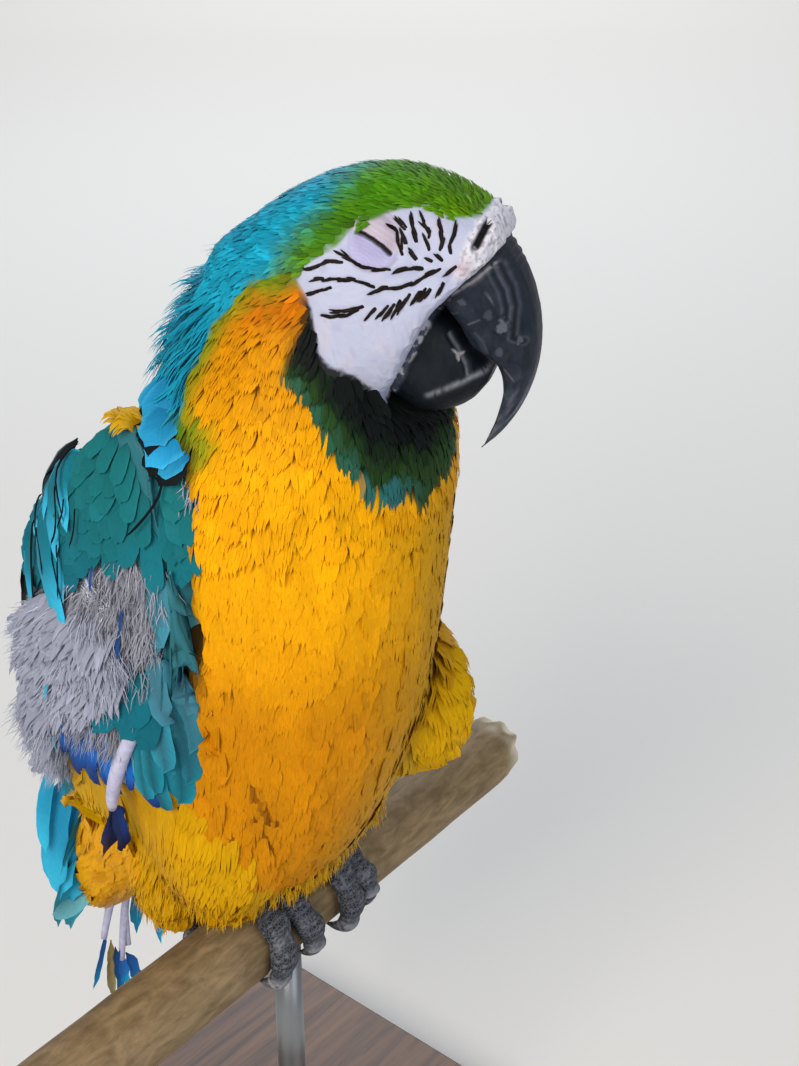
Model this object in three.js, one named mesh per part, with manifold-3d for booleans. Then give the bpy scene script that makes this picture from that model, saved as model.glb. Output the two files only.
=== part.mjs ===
// A perched blue-and-yellow macaw, life size, on a short length of wooden dowel held by a display stand.
// Millimetres, +Z up. The bird faces -Y, its right side is at -X, and the dowel runs along X.
// The origin is the centre of the underside of the stand's base.

import * as THREE from "three";
import { mergeVertices } from "three/addons/utils/BufferGeometryUtils.js";
import Module from "manifold-3d";

const wasm = await Module();
wasm.setup();

// Driving dimensions

const gap = 0.3;                 // clearance between neighbouring solids
const dowelRadius = 16;
const dowelLength = 300;
const perchHeight = 220;         // dowel axis above the floor
const perchSetBack = -14;        // dowel axis in front of the base's centre
const baseSize = new THREE.Vector3(260, 256, 20);
const baseCorner = 28;
const baseBevel = 2;
const rodRadius = 6;

const headTurn = 22;             // degrees the head is turned to the bird's left
const headPivot = -35;           // the neck's axis from the dowel's axis, along Y
const neckBase = 206;            // where neck meets trunk, above the dowel's axis
const neckBaseTilt = 14;         // degrees; the cut is higher at the back
const gapeSpot = new THREE.Vector2(35, 280.5);       // forward, up, in the head's frame
const billTop = new THREE.Vector2(56, 302.5);
const chinSpot = new THREE.Vector2(19.5, 248.5);
const culmenCentre = new THREE.Vector2(15.7, 268.8);
const culmenRadius = 51;
const culmenSweep = { from: 40, to: -49.5 };         // degrees above the horizontal
const eyeSpot = new THREE.Vector3(19.6, 20.6, 304);  // across, forward, up
const eyeRadius = 6.5;

// Colours of the main masses

const finishes = {
  crown: ["#5f9410", 0.75],
  nape: ["#2f9dbb", 0.75],
  yellow: ["#f0a800", 0.8],
  teal: ["#2a7f86", 0.7],
  blue: ["#1f5fb0", 0.65],
  cere: ["#e6e2e2", 0.6],
  bill: ["#2b3038", 0.45],
  eye: ["#0c0a09", 0.15],
  foot: ["#5a5c60", 0.8],
  claw: ["#24252a", 0.45],
  wood: ["#b08d62", 0.7],
  walnut: ["#5b4030", 0.5],
  steel: ["#8d9093", 0.35, 1],
};

const materials = {};
for (const [name, [color, roughness, metalness = 0]] of Object.entries(finishes)) {
  materials[name] = new THREE.MeshStandardMaterial({ color, roughness, metalness, flatShading: true });
}

const model = new THREE.Group();
const onPerch = new THREE.Matrix4().makeTranslation(0, perchSetBack, perchHeight);

// Building blocks

const degrees = THREE.MathUtils.degToRad;

// A smooth curve through a short table of stations; the first column is the place along it.
function station(table, place) {
  const last = table.length - 1;
  let k = 0;
  while (k < last - 1 && place > table[k + 1][0]) k += 1;
  const span = table[k + 1][0] - table[k][0];
  const t = THREE.MathUtils.clamp((place - table[k][0]) / span, 0, 1);
  const slope = (i, column) => {
    const low = table[Math.max(i - 1, 0)];
    const high = table[Math.min(i + 1, last)];
    return (high[column] - low[column]) / (high[0] - low[0]);
  };
  return table[k].slice(1).map((value, i) => {
    const next = table[k + 1][i + 1];
    const rise = slope(k, i + 1) * span;
    const fall = slope(k + 1, i + 1) * span;
    return value * (1 + 2 * t) * (1 - t) ** 2 + next * t * t * (3 - 2 * t)
      + rise * t * (1 - t) ** 2 - fall * t * t * (1 - t);
  });
}

// A closed skin over rings of equal count, each counter-clockwise seen from the end that the loft runs to.
function loft(rings) {
  const count = rings[0].length;
  const middle = (ring) => ring.reduce((sum, p) => sum.add(p), new THREE.Vector3()).divideScalar(count);
  const points = [...rings.flat(), middle(rings[0]), middle(rings.at(-1))];
  const index = [];
  const start = points.length - 2;
  const lastRing = (rings.length - 1) * count;
  for (let j = 0; j < count; j += 1) {
    const next = (j + 1) % count;
    for (let i = 0; i < lastRing; i += count) {
      index.push(i + j, i + next, i + count + next);
      index.push(i + j, i + count + next, i + count + j);
    }
    index.push(start, next, j);
    index.push(start + 1, lastRing + j, lastRing + next);
  }
  const geometry = new THREE.BufferGeometry().setFromPoints(points);
  geometry.setIndex(index);
  return geometry;
}

// An oval with its own depth to either side of its widest line; power above 2 squares its corners.
function oval(centre, across, along, width, front, back, power = 2, count = 36) {
  return Array.from({ length: count }, (_, j) => {
    const angle = (2 * Math.PI * j) / count;
    const side = Math.sign(Math.cos(angle)) * Math.abs(Math.cos(angle)) ** (2 / power);
    const deep = Math.sign(Math.sin(angle)) * Math.abs(Math.sin(angle)) ** (2 / power);
    return centre.clone().addScaledVector(across, side * width)
      .addScaledVector(along, deep * (deep < 0 ? front : back));
  });
}

function steps(low, high, count) {
  return Array.from({ length: count + 1 }, (_, i) => low + ((high - low) * i) / count);
}

// Ends of a loft are rounded: more rings crowd towards the ends.
function roundedSteps(low, high, count) {
  return steps(0, Math.PI, count).map((a) => low + ((high - low) * (1 - Math.cos(a))) / 2);
}

function solid(geometry, place = new THREE.Matrix4()) {
  const plain = geometry.clone().applyMatrix4(place);
  plain.deleteAttribute("normal");
  plain.deleteAttribute("uv");
  const merged = mergeVertices(plain, 1e-4);
  const mesh = new wasm.Mesh({
    numProp: 3,
    vertProperties: new Float32Array(merged.attributes.position.array),
    triVerts: new Uint32Array(merged.index.array),
  });
  return new wasm.Manifold(mesh);
}

const join = (...solids) => solids.reduce((sum, next) => sum.add(next));
const cut = (whole, ...tools) => tools.reduce((rest, tool) => rest.subtract(tool), whole);

function part(name, shape, finish, place = onPerch) {
  const { vertProperties, triVerts } = shape.getMesh();
  const geometry = new THREE.BufferGeometry();
  geometry.setAttribute("position", new THREE.BufferAttribute(vertProperties, 3));
  geometry.setIndex(new THREE.BufferAttribute(triVerts, 1));
  const mesh = new THREE.Mesh(geometry, materials[finish]);
  mesh.name = name;
  mesh.applyMatrix4(place);
  model.add(mesh);
}

const X = new THREE.Vector3(1, 0, 0);
const Y = new THREE.Vector3(0, 1, 0);
const Z = new THREE.Vector3(0, 0, 1);
const at = (x, y, z) => new THREE.Vector3(x, y, z);

// An egg: radii to each side, sized along its own axes.
function egg(centre, radii, turn = new THREE.Euler(), detail = 20) {
  const ball = new THREE.SphereGeometry(1, detail, Math.round(detail * 0.6));
  const place = new THREE.Matrix4().compose(centre, new THREE.Quaternion().setFromEuler(turn), radii);
  return ball.applyMatrix4(place);
}

// Perch: a dowel with a worn waist and one chewed end

const waist = { place: 60, depth: 0.5, spread: 40 };
const sawnEdge = 2;              // chamfer of the sound end
const chewedEdge = { depth: 1.2, spread: 12, length: 3, drop: 4.5 };

function dowelProfile(grow) {
  const half = dowelLength / 2 + grow;
  const radius = dowelRadius + grow;
  const hollow = (x, { place, depth, spread }) => depth * Math.exp(-(((x - place) / spread) ** 2));
  const worn = (x) => radius - hollow(x, waist) - hollow(x, { ...chewedEdge, place: half });
  const stations = steps(-half + sawnEdge, half - chewedEdge.length, 5);
  const outline = stations.map((x) => new THREE.Vector2(worn(x), x));
  return [
    new THREE.Vector2(0, -half),
    new THREE.Vector2(radius - sawnEdge, -half),
    ...outline,
    new THREE.Vector2(radius - chewedEdge.drop, half),
    new THREE.Vector2(0, half),
  ];
}

function dowel(grow) {
  const turned = new THREE.LatheGeometry(dowelProfile(grow), 20);
  return solid(turned, new THREE.Matrix4().makeRotationZ(-Math.PI / 2));
}

part("perch", dowel(0), "wood");

// Trunk and neck: one loft of level ovals from the belly to the back of the head.
// Height above the dowel's axis, middle, half width, depth in front, depth behind.

const trunkTable = [
  [5, 18, 14, 6, 14],
  [13, 15, 27, 20, 30],
  [30, 10, 39, 31, 46],
  [55, 5, 48, 41, 60],
  [90, 3, 52, 55, 65],
  [130, 0, 53, 63, 61],
  [170, -6, 53, 62, 55],
  [200, -13, 52.5, 57, 52],
  [222, -19, 51, 53, 52],
  [245, -23, 46, 45, 55],
  [265, -27, 39, 36, 52],
  [284, -31, 30, 26, 41],
  [298, -36, 14, 12, 18],
];

function bodyLoft(grow) {
  const low = trunkTable[0][0] - grow;
  const high = trunkTable.at(-1)[0] + grow;
  return solid(loft(roundedSteps(low, high, 16).map((height) => {
    const [middle, width, front, back] = station(trunkTable, height);
    return oval(at(0, middle, height), X, Y, width + grow, front + grow, back + grow, 2.1, 20);
  })));
}

// Everything on one side of a level, tilted plane
function half(height, tilt, above) {
  const block = new THREE.BoxGeometry(400, 400, 400).translate(0, 0, above ? 200 : -200);
  const place = new THREE.Matrix4().makeRotationX(degrees(tilt)).setPosition(0, 0, height);
  return solid(block, place);
}

// Head: a loft of upright ovals from the nape to the forehead, turned about the neck's axis.
// Forward of that axis, top, bottom, half width.

const headPlace = new THREE.Matrix4().makeRotationZ(degrees(headTurn)).setPosition(0, headPivot, 0);

const headTable = [
  [-40, 290, 262, 12],
  [-28, 299.5, 252, 21],
  [-14, 310, 244, 27],
  [2, 317.5, 241, 29.5],
  [18, 321, 243, 28.5],
  [34, 319, 254, 25],
  [47, 312.5, 268, 21],
  [53, 307.5, 276, 17.5],
  [57, 299.5, 283, 14],
];

function headShape(grow) {
  const low = headTable[0][0] - grow;
  const high = headTable.at(-1)[0] + grow;
  return solid(loft(roundedSteps(low, high, 13).map((forward) => {
    const [top, bottom, width] = station(headTable, forward);
    const middle = (top + bottom) / 2;
    return oval(at(0, -forward, middle), X, Z, width + grow,
      middle - bottom + grow, top - middle + grow, 2.3, 18);
  })), headPlace);
}

// A plate across the head with a side outline given as forward, up
function sidePlate(outline) {
  const depth = 80;
  const plate = new THREE.ExtrudeGeometry(new THREE.Shape(outline), { depth, bevelEnabled: false });
  const upright = new THREE.Matrix4().makeBasis(Y.clone().negate(), Z, X.clone().negate());
  return solid(plate.translate(0, 0, -depth / 2).applyMatrix4(upright), headPlace);
}

// The room in front of the face that the two mandibles fill
function billRoom(back) {
  const reach = 60;
  const top = billTop.clone().sub(gapeSpot).setLength(reach).add(gapeSpot);
  const low = chinSpot.clone().sub(gapeSpot).setLength(reach).add(gapeSpot);
  const topFront = new THREE.Vector2(top.x + reach, top.y);
  const lowFront = new THREE.Vector2(low.x + 2 * reach, low.y);
  return [gapeSpot, top, topFront, lowFront, low].map((p) => new THREE.Vector2(p.x - back, p.y));
}

// The bare band round the base of the upper mandible, widest at the nostrils
const cereSwell = 0.8;
const cereBand = [
  new THREE.Vector2(gapeSpot.x + 2, gapeSpot.y),
  billTop.clone().sub(gapeSpot).setLength(40).add(gapeSpot).setX(66),
  new THREE.Vector2(60, 311),
  new THREE.Vector2(49, 309.5),
  new THREE.Vector2(45.5, 304),
  new THREE.Vector2(44, 296),
];
const nostrilSpot = at(15.5, 50.5, 306);
const nostrilRadii = at(4, 1.1, 3.2);
const nostrilLean = 0.3;

function nostril(side) {
  const centre = at(side * nostrilSpot.x, -nostrilSpot.y, nostrilSpot.z);
  return solid(egg(centre, nostrilRadii, new THREE.Euler(nostrilLean, 0, 0), 8), headPlace);
}

function eyeBall(side, grow) {
  const centre = at(side * eyeSpot.x, -eyeSpot.y, eyeSpot.z);
  const radii = at(1, 1, 1).multiplyScalar(eyeRadius + grow);
  return solid(egg(centre, radii, new THREE.Euler(), 10), headPlace);
}

const cereRoom = sidePlate(cereBand);
const billOpening = sidePlate(billRoom(0));

part("head", cut(headShape(0), billOpening, cereRoom, eyeBall(-1, gap), eyeBall(1, gap)), "crown");
part("eye_right", eyeBall(-1, 0), "eye");
part("eye_left", eyeBall(1, 0), "eye");

const cereInside = sidePlate(cereBand.map((p) => new THREE.Vector2(p.x + gap, p.y - gap)));
part("cere", cut(headShape(cereSwell).intersect(cereInside), billOpening, nostril(-1), nostril(1)), "cere");

// Bill: ovals between an outer and an inner line in the head's middle plane.
// Share of the way to the tip, inner line forward and up, half width.

const upperTable = [
  [0, 37, 281, 15.5],
  [0.15, 42, 275, 14.8],
  [0.3, 46.5, 267.5, 13.2],
  [0.42, 51.5, 265, 11.2],
  [0.52, 54.5, 261, 9],
  [0.65, 56, 254, 6.6],
  [0.82, 54.2, 243, 4],
  [1, 49.6, 230.6, 0.8],
];

function billSection(inner, outer, width, flatShare, grow) {
  const along = new THREE.Vector3(0, inner.x - outer.x, outer.y - inner.y);
  const height = along.length();
  along.normalize();
  const centre = at(0, -inner.x, inner.y).addScaledVector(along, flatShare * height);
  const low = flatShare * height + grow;
  return oval(centre, X, along, width + grow, low, height - low + 2 * grow, 2.5, 14);
}

function upperBill(grow) {
  return solid(loft(steps(0, 1, 12).map((share) => {
    const [forward, up, width] = station(upperTable, share);
    const angle = degrees(THREE.MathUtils.lerp(culmenSweep.from, culmenSweep.to, share));
    const outer = new THREE.Vector2(Math.cos(angle), Math.sin(angle));
    outer.multiplyScalar(culmenRadius).add(culmenCentre);
    return billSection(new THREE.Vector2(forward, up), outer, width, 0.3, grow);
  })), headPlace);
}

// Share of the way to the cutting edge, underside forward and up, top forward and up, half width
const lowerTable = [
  [0, 19.5, 248.5, 34, 280, 15.4],
  [0.3, 29, 243.2, 41, 274.5, 14.8],
  [0.6, 40, 244.6, 46.5, 266, 12.6],
  [0.85, 47.5, 249.5, 50.5, 261.5, 9.6],
  [1, 51.3, 254.5, 52.5, 259.5, 6.5],
];

function lowerBill(grow) {
  return solid(loft(steps(0, 1, 7).map((share) => {
    const [forward, up, topForward, topUp, width] = station(lowerTable, share);
    const underside = new THREE.Vector2(forward, up);
    return billSection(underside, new THREE.Vector2(topForward, topUp), width, 0.6, grow);
  })), headPlace);
}

const billFront = sidePlate(billRoom(-gap));
part("bill_upper", upperBill(0).intersect(billFront), "bill");
part("bill_lower", cut(lowerBill(0).intersect(billFront), upperBill(gap)), "bill");

// Thighs and lower legs: eggs of feathers in front of and beside the trunk

const thighEggs = {
  right: [
    [at(-34, 0, 66), at(23, 30, 46), 0.12],
    [at(-35, 26, 30), at(17, 19, 29), 0.1],
  ],
  left: [
    [at(41, -20, 102), at(22, 42, 42), -0.35],
    [at(33, -4, 58), at(18, 22, 32), -0.15],
  ],
};

function thigh(side, grow) {
  return join(...thighEggs[side].map(([centre, radii, lean]) =>
    solid(egg(centre, radii.clone().addScalar(grow), new THREE.Euler(lean, 0, 0), 11))));
}

// Rump: a loft that runs from inside the trunk down and back to the roots of the tail.
// Share of the way, back, up, half width, half thickness.

const rumpTable = [
  [0, 22, 70, 46, 34],
  [0.3, 50, 48, 45, 33],
  [0.6, 76, 14, 37, 27],
  [0.85, 94, -20, 29, 16],
  [1, 102, -42, 20, 8],
];

function rump(grow) {
  return solid(loft(steps(0, 1, 8).map((share) => {
    const [back, up, width, thick] = station(rumpTable, share);
    const [backNext, upNext] = station(rumpTable, Math.min(share + 0.02, 1));
    const [backLast, upLast] = station(rumpTable, Math.max(share - 0.02, 0));
    const run = at(0, backNext - backLast, upNext - upLast).normalize();
    const along = new THREE.Vector3().crossVectors(run, X);
    return oval(at(0, back, up), X, along, width + grow, thick + grow, thick + grow, 2.1, 18);
  })));
}

// Feet: two toes forward and two back round the dowel, under a short tarsus.
// Angle is from the top of the dowel, positive to the front.

const toeHalf = 6.2;
const toeHeight = 9.5;
const footSpots = { right: -17, left: 19 };
const toeTable = {
  right: [[-24, 122], [-4, 106], [-33, -104], [-6, -88]],
  left: [[18, 122], [30, 92], [8, -88], [35, -104]],
};
const clawSweep = 34;
const tarsusRise = 26;

function alongDowel(startX, endX, from, to, profile, count, sides, grow = 0) {
  const sense = Math.sign(to - from);
  return solid(loft(steps(0, 1, count).map((share) => {
    const angle = degrees(THREE.MathUtils.lerp(from, to, share));
    const [half, height, lift] = profile(share);
    const out = at(0, -Math.sin(angle), Math.cos(angle));
    const radius = dowelRadius + lift + height / 2;
    const centre = out.clone().multiplyScalar(radius);
    centre.x = THREE.MathUtils.lerp(startX, endX, Math.sqrt(share));
    const thick = height / 2 + grow;
    return oval(centre, X.clone().multiplyScalar(sense), out, half + grow, thick, thick, 2.3, sides);
  })));
}

function toeProfile(share) {
  const pad = 1 + 0.09 * Math.cos(share * 3 * 2 * Math.PI);
  const taper = 1 - 0.22 * share ** 3;
  const tip = Math.sqrt(Math.max(1 - Math.max((share - 0.93) / 0.075, 0) ** 2, 0.1));
  return [toeHalf * pad * taper * tip, toeHeight * pad * taper * tip, 2 * gap];
}

function clawProfile(share) {
  const taper = 1 - 0.85 * share;
  return [3.1 * taper, 6.4 * taper, 1];
}

function foot(side, grow, detail) {
  const footX = footSpots[side];
  const toes = toeTable[side].map(([tipX, angle]) =>
    alongDowel(footX, tipX, 0, angle, toeProfile, detail, detail - 1, grow));
  const palmRadii = at(13.5, 12, 7.8).addScalar(grow);
  const palm = solid(egg(at(footX, 0, dowelRadius + 8.4), palmRadii, new THREE.Euler(), detail + 2));
  const tarsus = solid(loft(steps(-grow / tarsusRise, 1 + grow / tarsusRise, 3).map((share) => {
    const middle = at(footX, 2 + 8 * share, dowelRadius + 5 + tarsusRise * share);
    return oval(middle, X, Y, 8.5 + grow, 8 + grow, 9 + grow, 2, detail + 2);
  })));
  return join(palm, tarsus, ...toes);
}

// The feathers over the feet keep clear of them by a coarser, looser shape
const footClearance = 2.2;
const dowelRoom = dowel(footClearance);
const soleRadii = at(28, 18, 10.5);

function footRoomOf(side) {
  const sole = egg(at(footSpots[side], 0, dowelRadius + 3), soleRadii, new THREE.Euler(), 8);
  return join(foot(side, footClearance, 6), solid(sole));
}

const footRoom = join(footRoomOf("right"), footRoomOf("left"));

for (const side of ["right", "left"]) {
  part(`foot_${side}`, foot(side, 0, 7), "foot");
  toeTable[side].forEach(([tipX, angle], number) => {
    const start = angle + Math.sign(angle) * 1.2;
    const claw = alongDowel(tipX, tipX, start, start + Math.sign(angle) * clawSweep, clawProfile, 4, 6);
    part(`claw_${side}_${number + 1}`, claw, "claw");
  });
  part(`thigh_${side}`, cut(thigh(side, 0), dowelRoom, footRoom), "yellow");
}

// Flesh nodes, parted where they meet

const thighRoom = join(thigh("right", gap), thigh("left", gap));
const aboveNeckBase = half(neckBase, -neckBaseTilt, true);
const belowNeckBase = half(neckBase - gap, -neckBaseTilt, false);

// Feathers of the throat fill up to the underside of the lower mandible
const throatLine = [[14, 256], [18.5, 249], [30, 242], [46, 240], [64, 226], [130, 226], [130, 330], [14, 330]];
const throatRoom = sidePlate(throatLine.map(([forward, up]) => new THREE.Vector2(forward, up)));

part("neck", cut(bodyLoft(0).intersect(aboveNeckBase), headShape(gap), throatRoom, lowerBill(gap)), "nape");
part("trunk", cut(bodyLoft(0).intersect(belowNeckBase), dowelRoom, thighRoom, footRoom), "yellow");
part("rump", cut(rump(0), bodyLoft(gap), thighRoom, footRoom), "yellow");

// Wings: a curved shell of coverts on each side, with flight feathers hanging from its lower edge.
// Height, front edge, rear edge, distance out at the front edge, bulge, distance out at the rear.

const wingTable = {
  right: [
    [48, 50, 76, 54, 3, 50],
    [66, 16, 88, 55, 7, 50],
    [88, -6, 90, 56, 12, 49],
    [118, -15, 87, 57, 15, 48],
    [150, -16, 83, 57, 13, 47],
    [178, -16, 74, 57, 12, 47],
    [200, -16, 61, 57, 10, 48],
    [218, -14, 46, 56, 8, 49],
    [231, -8, 32, 55, 5, 51],
    [239, 3, 18, 54, 1, 53],
  ],
  left: [
    [-6, 64, 96, 43, 3, 37],
    [14, 46, 101, 46, 5, 39],
    [48, 12, 98, 52, 8, 41],
    [88, -8, 92, 56, 11, 42],
    [118, -14, 88, 57, 13, 45],
    [150, -16, 82, 57, 13, 46],
    [178, -16, 74, 57, 12, 47],
    [200, -16, 61, 57, 10, 48],
    [218, -14, 46, 56, 8, 49],
    [231, -8, 32, 55, 5, 51],
    [239, 3, 18, 54, 1, 53],
  ],
};
const wingThickness = 12;

function wingShell(side) {
  const table = wingTable[side];
  const sign = side === "left" ? 1 : -1;
  return solid(loft(roundedSteps(table[0][0], table.at(-1)[0], 12).map((height) => {
    const [front, rear, outFront, bulge, outRear] = station(table, height);
    const spot = (share, depth) => {
      const arch = Math.sin(Math.PI * share) ** 0.7;
      const flat = THREE.MathUtils.lerp(outFront, outRear, share);
      const out = flat + bulge * arch - depth * (0.3 + 0.7 * arch);
      return at(sign * out, THREE.MathUtils.lerp(front, rear, share), height);
    };
    const outside = steps(0, 1, 7).map((share) => spot(share, 0));
    const inside = steps(1, 0, 4).map((share) => spot(share, wingThickness));
    const ring = [...outside, ...inside];
    return side === "left" ? ring : ring.reverse();
  })));
}

// A flight feather: a thin lens from root to tip, its face turned to the given side
function vane(root, tip, width, face, thick = 1.8) {
  const run = tip.clone().sub(root).normalize();
  const along = face.clone().addScaledVector(run, -face.dot(run)).normalize();
  const across = new THREE.Vector3().crossVectors(along, run);
  return solid(loft(steps(0, 1, 5).map((share) => {
    const rounding = Math.sqrt(1 - 0.97 * Math.max((share - 0.7) / 0.3, 0) ** 2);
    const half = (width / 2) * Math.min(0.35 + 1.7 * share, 1) * rounding;
    return oval(root.clone().lerp(tip, share), across, along, half, thick / 2, thick / 2, 2, 4);
  })));
}

// Root and tip as distance out, back, up; width
const wingFeathers = {
  right: [
    [[58, 0, 130], [53, -9, 99], 17],
    [[60, 8, 125], [55, 2, 86], 16],
    [[62, 16, 125], [57, 15, 96], 16],
    [[64, 32, 110], [59, 36, 46], 9],
    [[64, 50, 110], [60, 50, 88], 13],
    [[62, 64, 110], [59, 64, 84], 13],
    [[52, 76, 90], [51, 84, 40], 12],
    [[51, 70, 80], [50, 72, 34], 10],
    [[54, 40, 212], [52, 88, 150], 6],
    [[54, 34, 218], [52, 80, 172], 6],
  ],
  left: [
    [[50, 40, 90], [46, 76, -14], 20],
    [[49, 54, 80], [43, 88, -26], 20],
    [[48, 68, 70], [40, 99, -34], 18],
    [[47, 80, 60], [37, 107, -28], 16],
  ],
};

for (const [side, feathers] of Object.entries(wingFeathers)) {
  const sign = side === "left" ? 1 : -1;
  const spot = ([out, back, up]) => at(sign * out, back, up);
  const vanes = feathers.map(([root, tip, width]) => vane(spot(root), spot(tip), width, at(sign, 0.1, 0)));
  part(`wing_${side}`, cut(join(wingShell(side), ...vanes), bodyLoft(gap), thighRoom, rump(gap)), "teal");
}

// Tail: feathers of a growing-in tail, fanned from the rump. Tip across, back, up; width.
const tailRoot = at(0, 92, -24);
const tailFeathers = [
  [-38, 100, -38, 18],
  [-22, 116, -58, 20],
  [-2, 123, -62, 22],
  [19, 117, -58, 20],
  [37, 101, -40, 18],
  [2, 134, -126, 8],
  [-8, 117, -113, 7],
  [-13, 90, -84, 8],
  [10, 128, -108, 9],
  [-24, 110, -88, 9],
  [20, 118, -94, 12],
  [-32, 114, -48, 18],
  [30, 108, -62, 15],
];
const tailCoverts = solid(egg(at(0, 98, -42), at(26, 12, 26), new THREE.Euler(0.42, 0, 0), 12));
const tailVanes = tailFeathers.map(([across, back, up, width]) => {
  const root = tailRoot.clone().setX(across * 0.4);
  const face = at(0.15 * Math.sign(across), 1, 0.35);
  return vane(root, at(across, back, up), width, face, 2.2);
});

part("tail", cut(join(tailCoverts, ...tailVanes), rump(gap)), "blue");

// Display stand: a rod under the dowel on a bevelled board

const boardOutline = new THREE.Shape();
const boardX = baseSize.x / 2 - baseBevel;
const boardY = baseSize.y / 2 - baseBevel;
boardOutline.moveTo(-boardX + baseCorner, -boardY);
boardOutline.absarc(boardX - baseCorner, -boardY + baseCorner, baseCorner, -Math.PI / 2, 0);
boardOutline.absarc(boardX - baseCorner, boardY - baseCorner, baseCorner, 0, Math.PI / 2);
boardOutline.absarc(-boardX + baseCorner, boardY - baseCorner, baseCorner, Math.PI / 2, Math.PI);
boardOutline.absarc(-boardX + baseCorner, -boardY + baseCorner, baseCorner, Math.PI, 1.5 * Math.PI);

const board = new THREE.ExtrudeGeometry(boardOutline, {
  depth: baseSize.z - 2 * baseBevel,
  bevelThickness: baseBevel,
  bevelSize: baseBevel,
  bevelSegments: 1,
  curveSegments: 3,
});
part("stand_base", solid(board.translate(0, 0, baseBevel)), "walnut", new THREE.Matrix4());

const rodLength = perchHeight - baseSize.z - gap;
const rodBlank = new THREE.CylinderGeometry(rodRadius, rodRadius, rodLength, 16).rotateX(Math.PI / 2);
const rod = solid(rodBlank, new THREE.Matrix4().makeTranslation(0, 0, -rodLength / 2));
part("stand_rod", cut(rod, dowel(gap)), "steel");

export default model;
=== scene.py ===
"""A life-size blue-and-yellow macaw on a perch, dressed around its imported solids."""

import bmesh
import bpy
import numpy as np
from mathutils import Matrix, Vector
from mathutils.bvhtree import BVHTree
from mathutils.kdtree import KDTree


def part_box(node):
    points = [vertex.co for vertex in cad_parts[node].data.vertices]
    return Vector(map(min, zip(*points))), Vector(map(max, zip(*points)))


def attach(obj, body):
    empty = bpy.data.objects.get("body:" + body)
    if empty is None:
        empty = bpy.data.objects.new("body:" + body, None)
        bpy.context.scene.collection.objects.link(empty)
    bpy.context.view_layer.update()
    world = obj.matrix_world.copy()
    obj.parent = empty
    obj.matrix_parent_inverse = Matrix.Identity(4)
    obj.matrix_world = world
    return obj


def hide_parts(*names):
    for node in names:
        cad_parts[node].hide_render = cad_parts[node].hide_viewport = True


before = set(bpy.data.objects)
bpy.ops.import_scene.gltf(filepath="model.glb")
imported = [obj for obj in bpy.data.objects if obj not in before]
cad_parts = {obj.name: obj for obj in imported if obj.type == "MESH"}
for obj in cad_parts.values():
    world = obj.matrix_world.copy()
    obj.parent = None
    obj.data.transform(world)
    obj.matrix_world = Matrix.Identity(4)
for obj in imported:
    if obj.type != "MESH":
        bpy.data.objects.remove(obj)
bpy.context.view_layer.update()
scene = bpy.context.scene

# ---------------------------------------------------------------------------------------------
# The room: a plain pale floor that runs far behind the bird, soft lights and the camera.
# The camera stands in front of the bird's right side and looks down on it by 29 degrees.


def painted(hex_colour):
    """An sRGB hex colour as the linear values that a socket takes."""
    parts = np.array([int(hex_colour[i:i + 2], 16) / 255 for i in (1, 3, 5)])
    return np.where(parts <= 0.04045, parts / 12.92, ((parts + 0.055) / 1.055) ** 2.4)


def add_node(tree, kind, settings=None, inputs=None):
    """One node with its settings; an input is a value, or another node's output."""
    node = tree.nodes.new(kind)
    for name, value in (settings or {}).items():
        setattr(node, name, value)
    for name, value in (inputs or {}).items():
        socket = node.inputs[name]
        if isinstance(value, bpy.types.NodeSocket):
            tree.links.new(value, socket)
        elif isinstance(value, str):
            socket.default_value = (*painted(value), 1)
        else:
            socket.default_value = value
    return node


def new_material(name):
    """An empty node material and its output node."""
    material = bpy.data.materials.new(name)
    material.use_nodes = True
    material.node_tree.nodes.clear()
    return material, material.node_tree


def finished(material, shader):
    """Joins the shader to the material's output."""
    tree = material.node_tree
    output = add_node(tree, "ShaderNodeOutputMaterial")
    tree.links.new(shader.outputs[0], output.inputs["Surface"])
    return material


# Painted board: matt, even and pale, so that it only catches the bird's shadow.
studio_paint, tree = new_material("studio_paint")
board = add_node(tree, "ShaderNodeBsdfPrincipled", inputs={"Base Color": "#d9d8d5", "Roughness": 0.9})
finished(studio_paint, board)

floor_reach = 7.0
floor_mesh = bpy.data.meshes.new("floor")
corners = [(x * floor_reach, y * floor_reach, 0) for x, y in ((-1, -1), (1, -1), (1, 1), (-1, 1))]
floor_mesh.from_pydata(corners, [], [(0, 1, 2, 3)])
floor = bpy.data.objects.new("floor", floor_mesh)
floor.data.materials.append(studio_paint)
scene.collection.objects.link(floor)

camera_data = bpy.data.cameras.new("camera")
camera_data.sensor_width = 36
camera_data.lens = 54.03
camera_data.clip_start = 0.02
camera = bpy.data.objects.new("camera", camera_data)
camera.location = (-0.3611, -0.3672, 0.6768)
camera.rotation_euler = np.radians((61, 0, -51.01))
scene.collection.objects.link(camera)
scene.camera = camera


def soft_light(name, place, aim, size, power, colour):
    """A square softbox at a place, turned to look at its aim."""
    data = bpy.data.lights.new(name, "AREA")
    data.size = size
    data.energy = power
    data.color = painted(colour)
    light = bpy.data.objects.new(name, data)
    light.location = place
    light.rotation_euler = (Vector(aim) - Vector(place)).to_track_quat("-Z", "Y").to_euler()
    scene.collection.objects.link(light)


soft_light("key_light", (-1.5, -0.35, 1.35), (0, 0, 0.42), 0.9, 27, "#fff6ea")
soft_light("front_light", (-0.35, -1.9, 1.2), (0, 0, 0.4), 1.4, 9, "#f4f6ff")
soft_light("floor_light", (2.6, 2.0, 2.0), (2.2, 1.7, 0), 2.4, 45, "#ffffff")
soft_light("back_light", (1.3, 1.2, 1.5), (0, 0, 0.4), 1.2, 9, "#eef3ff")

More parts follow.
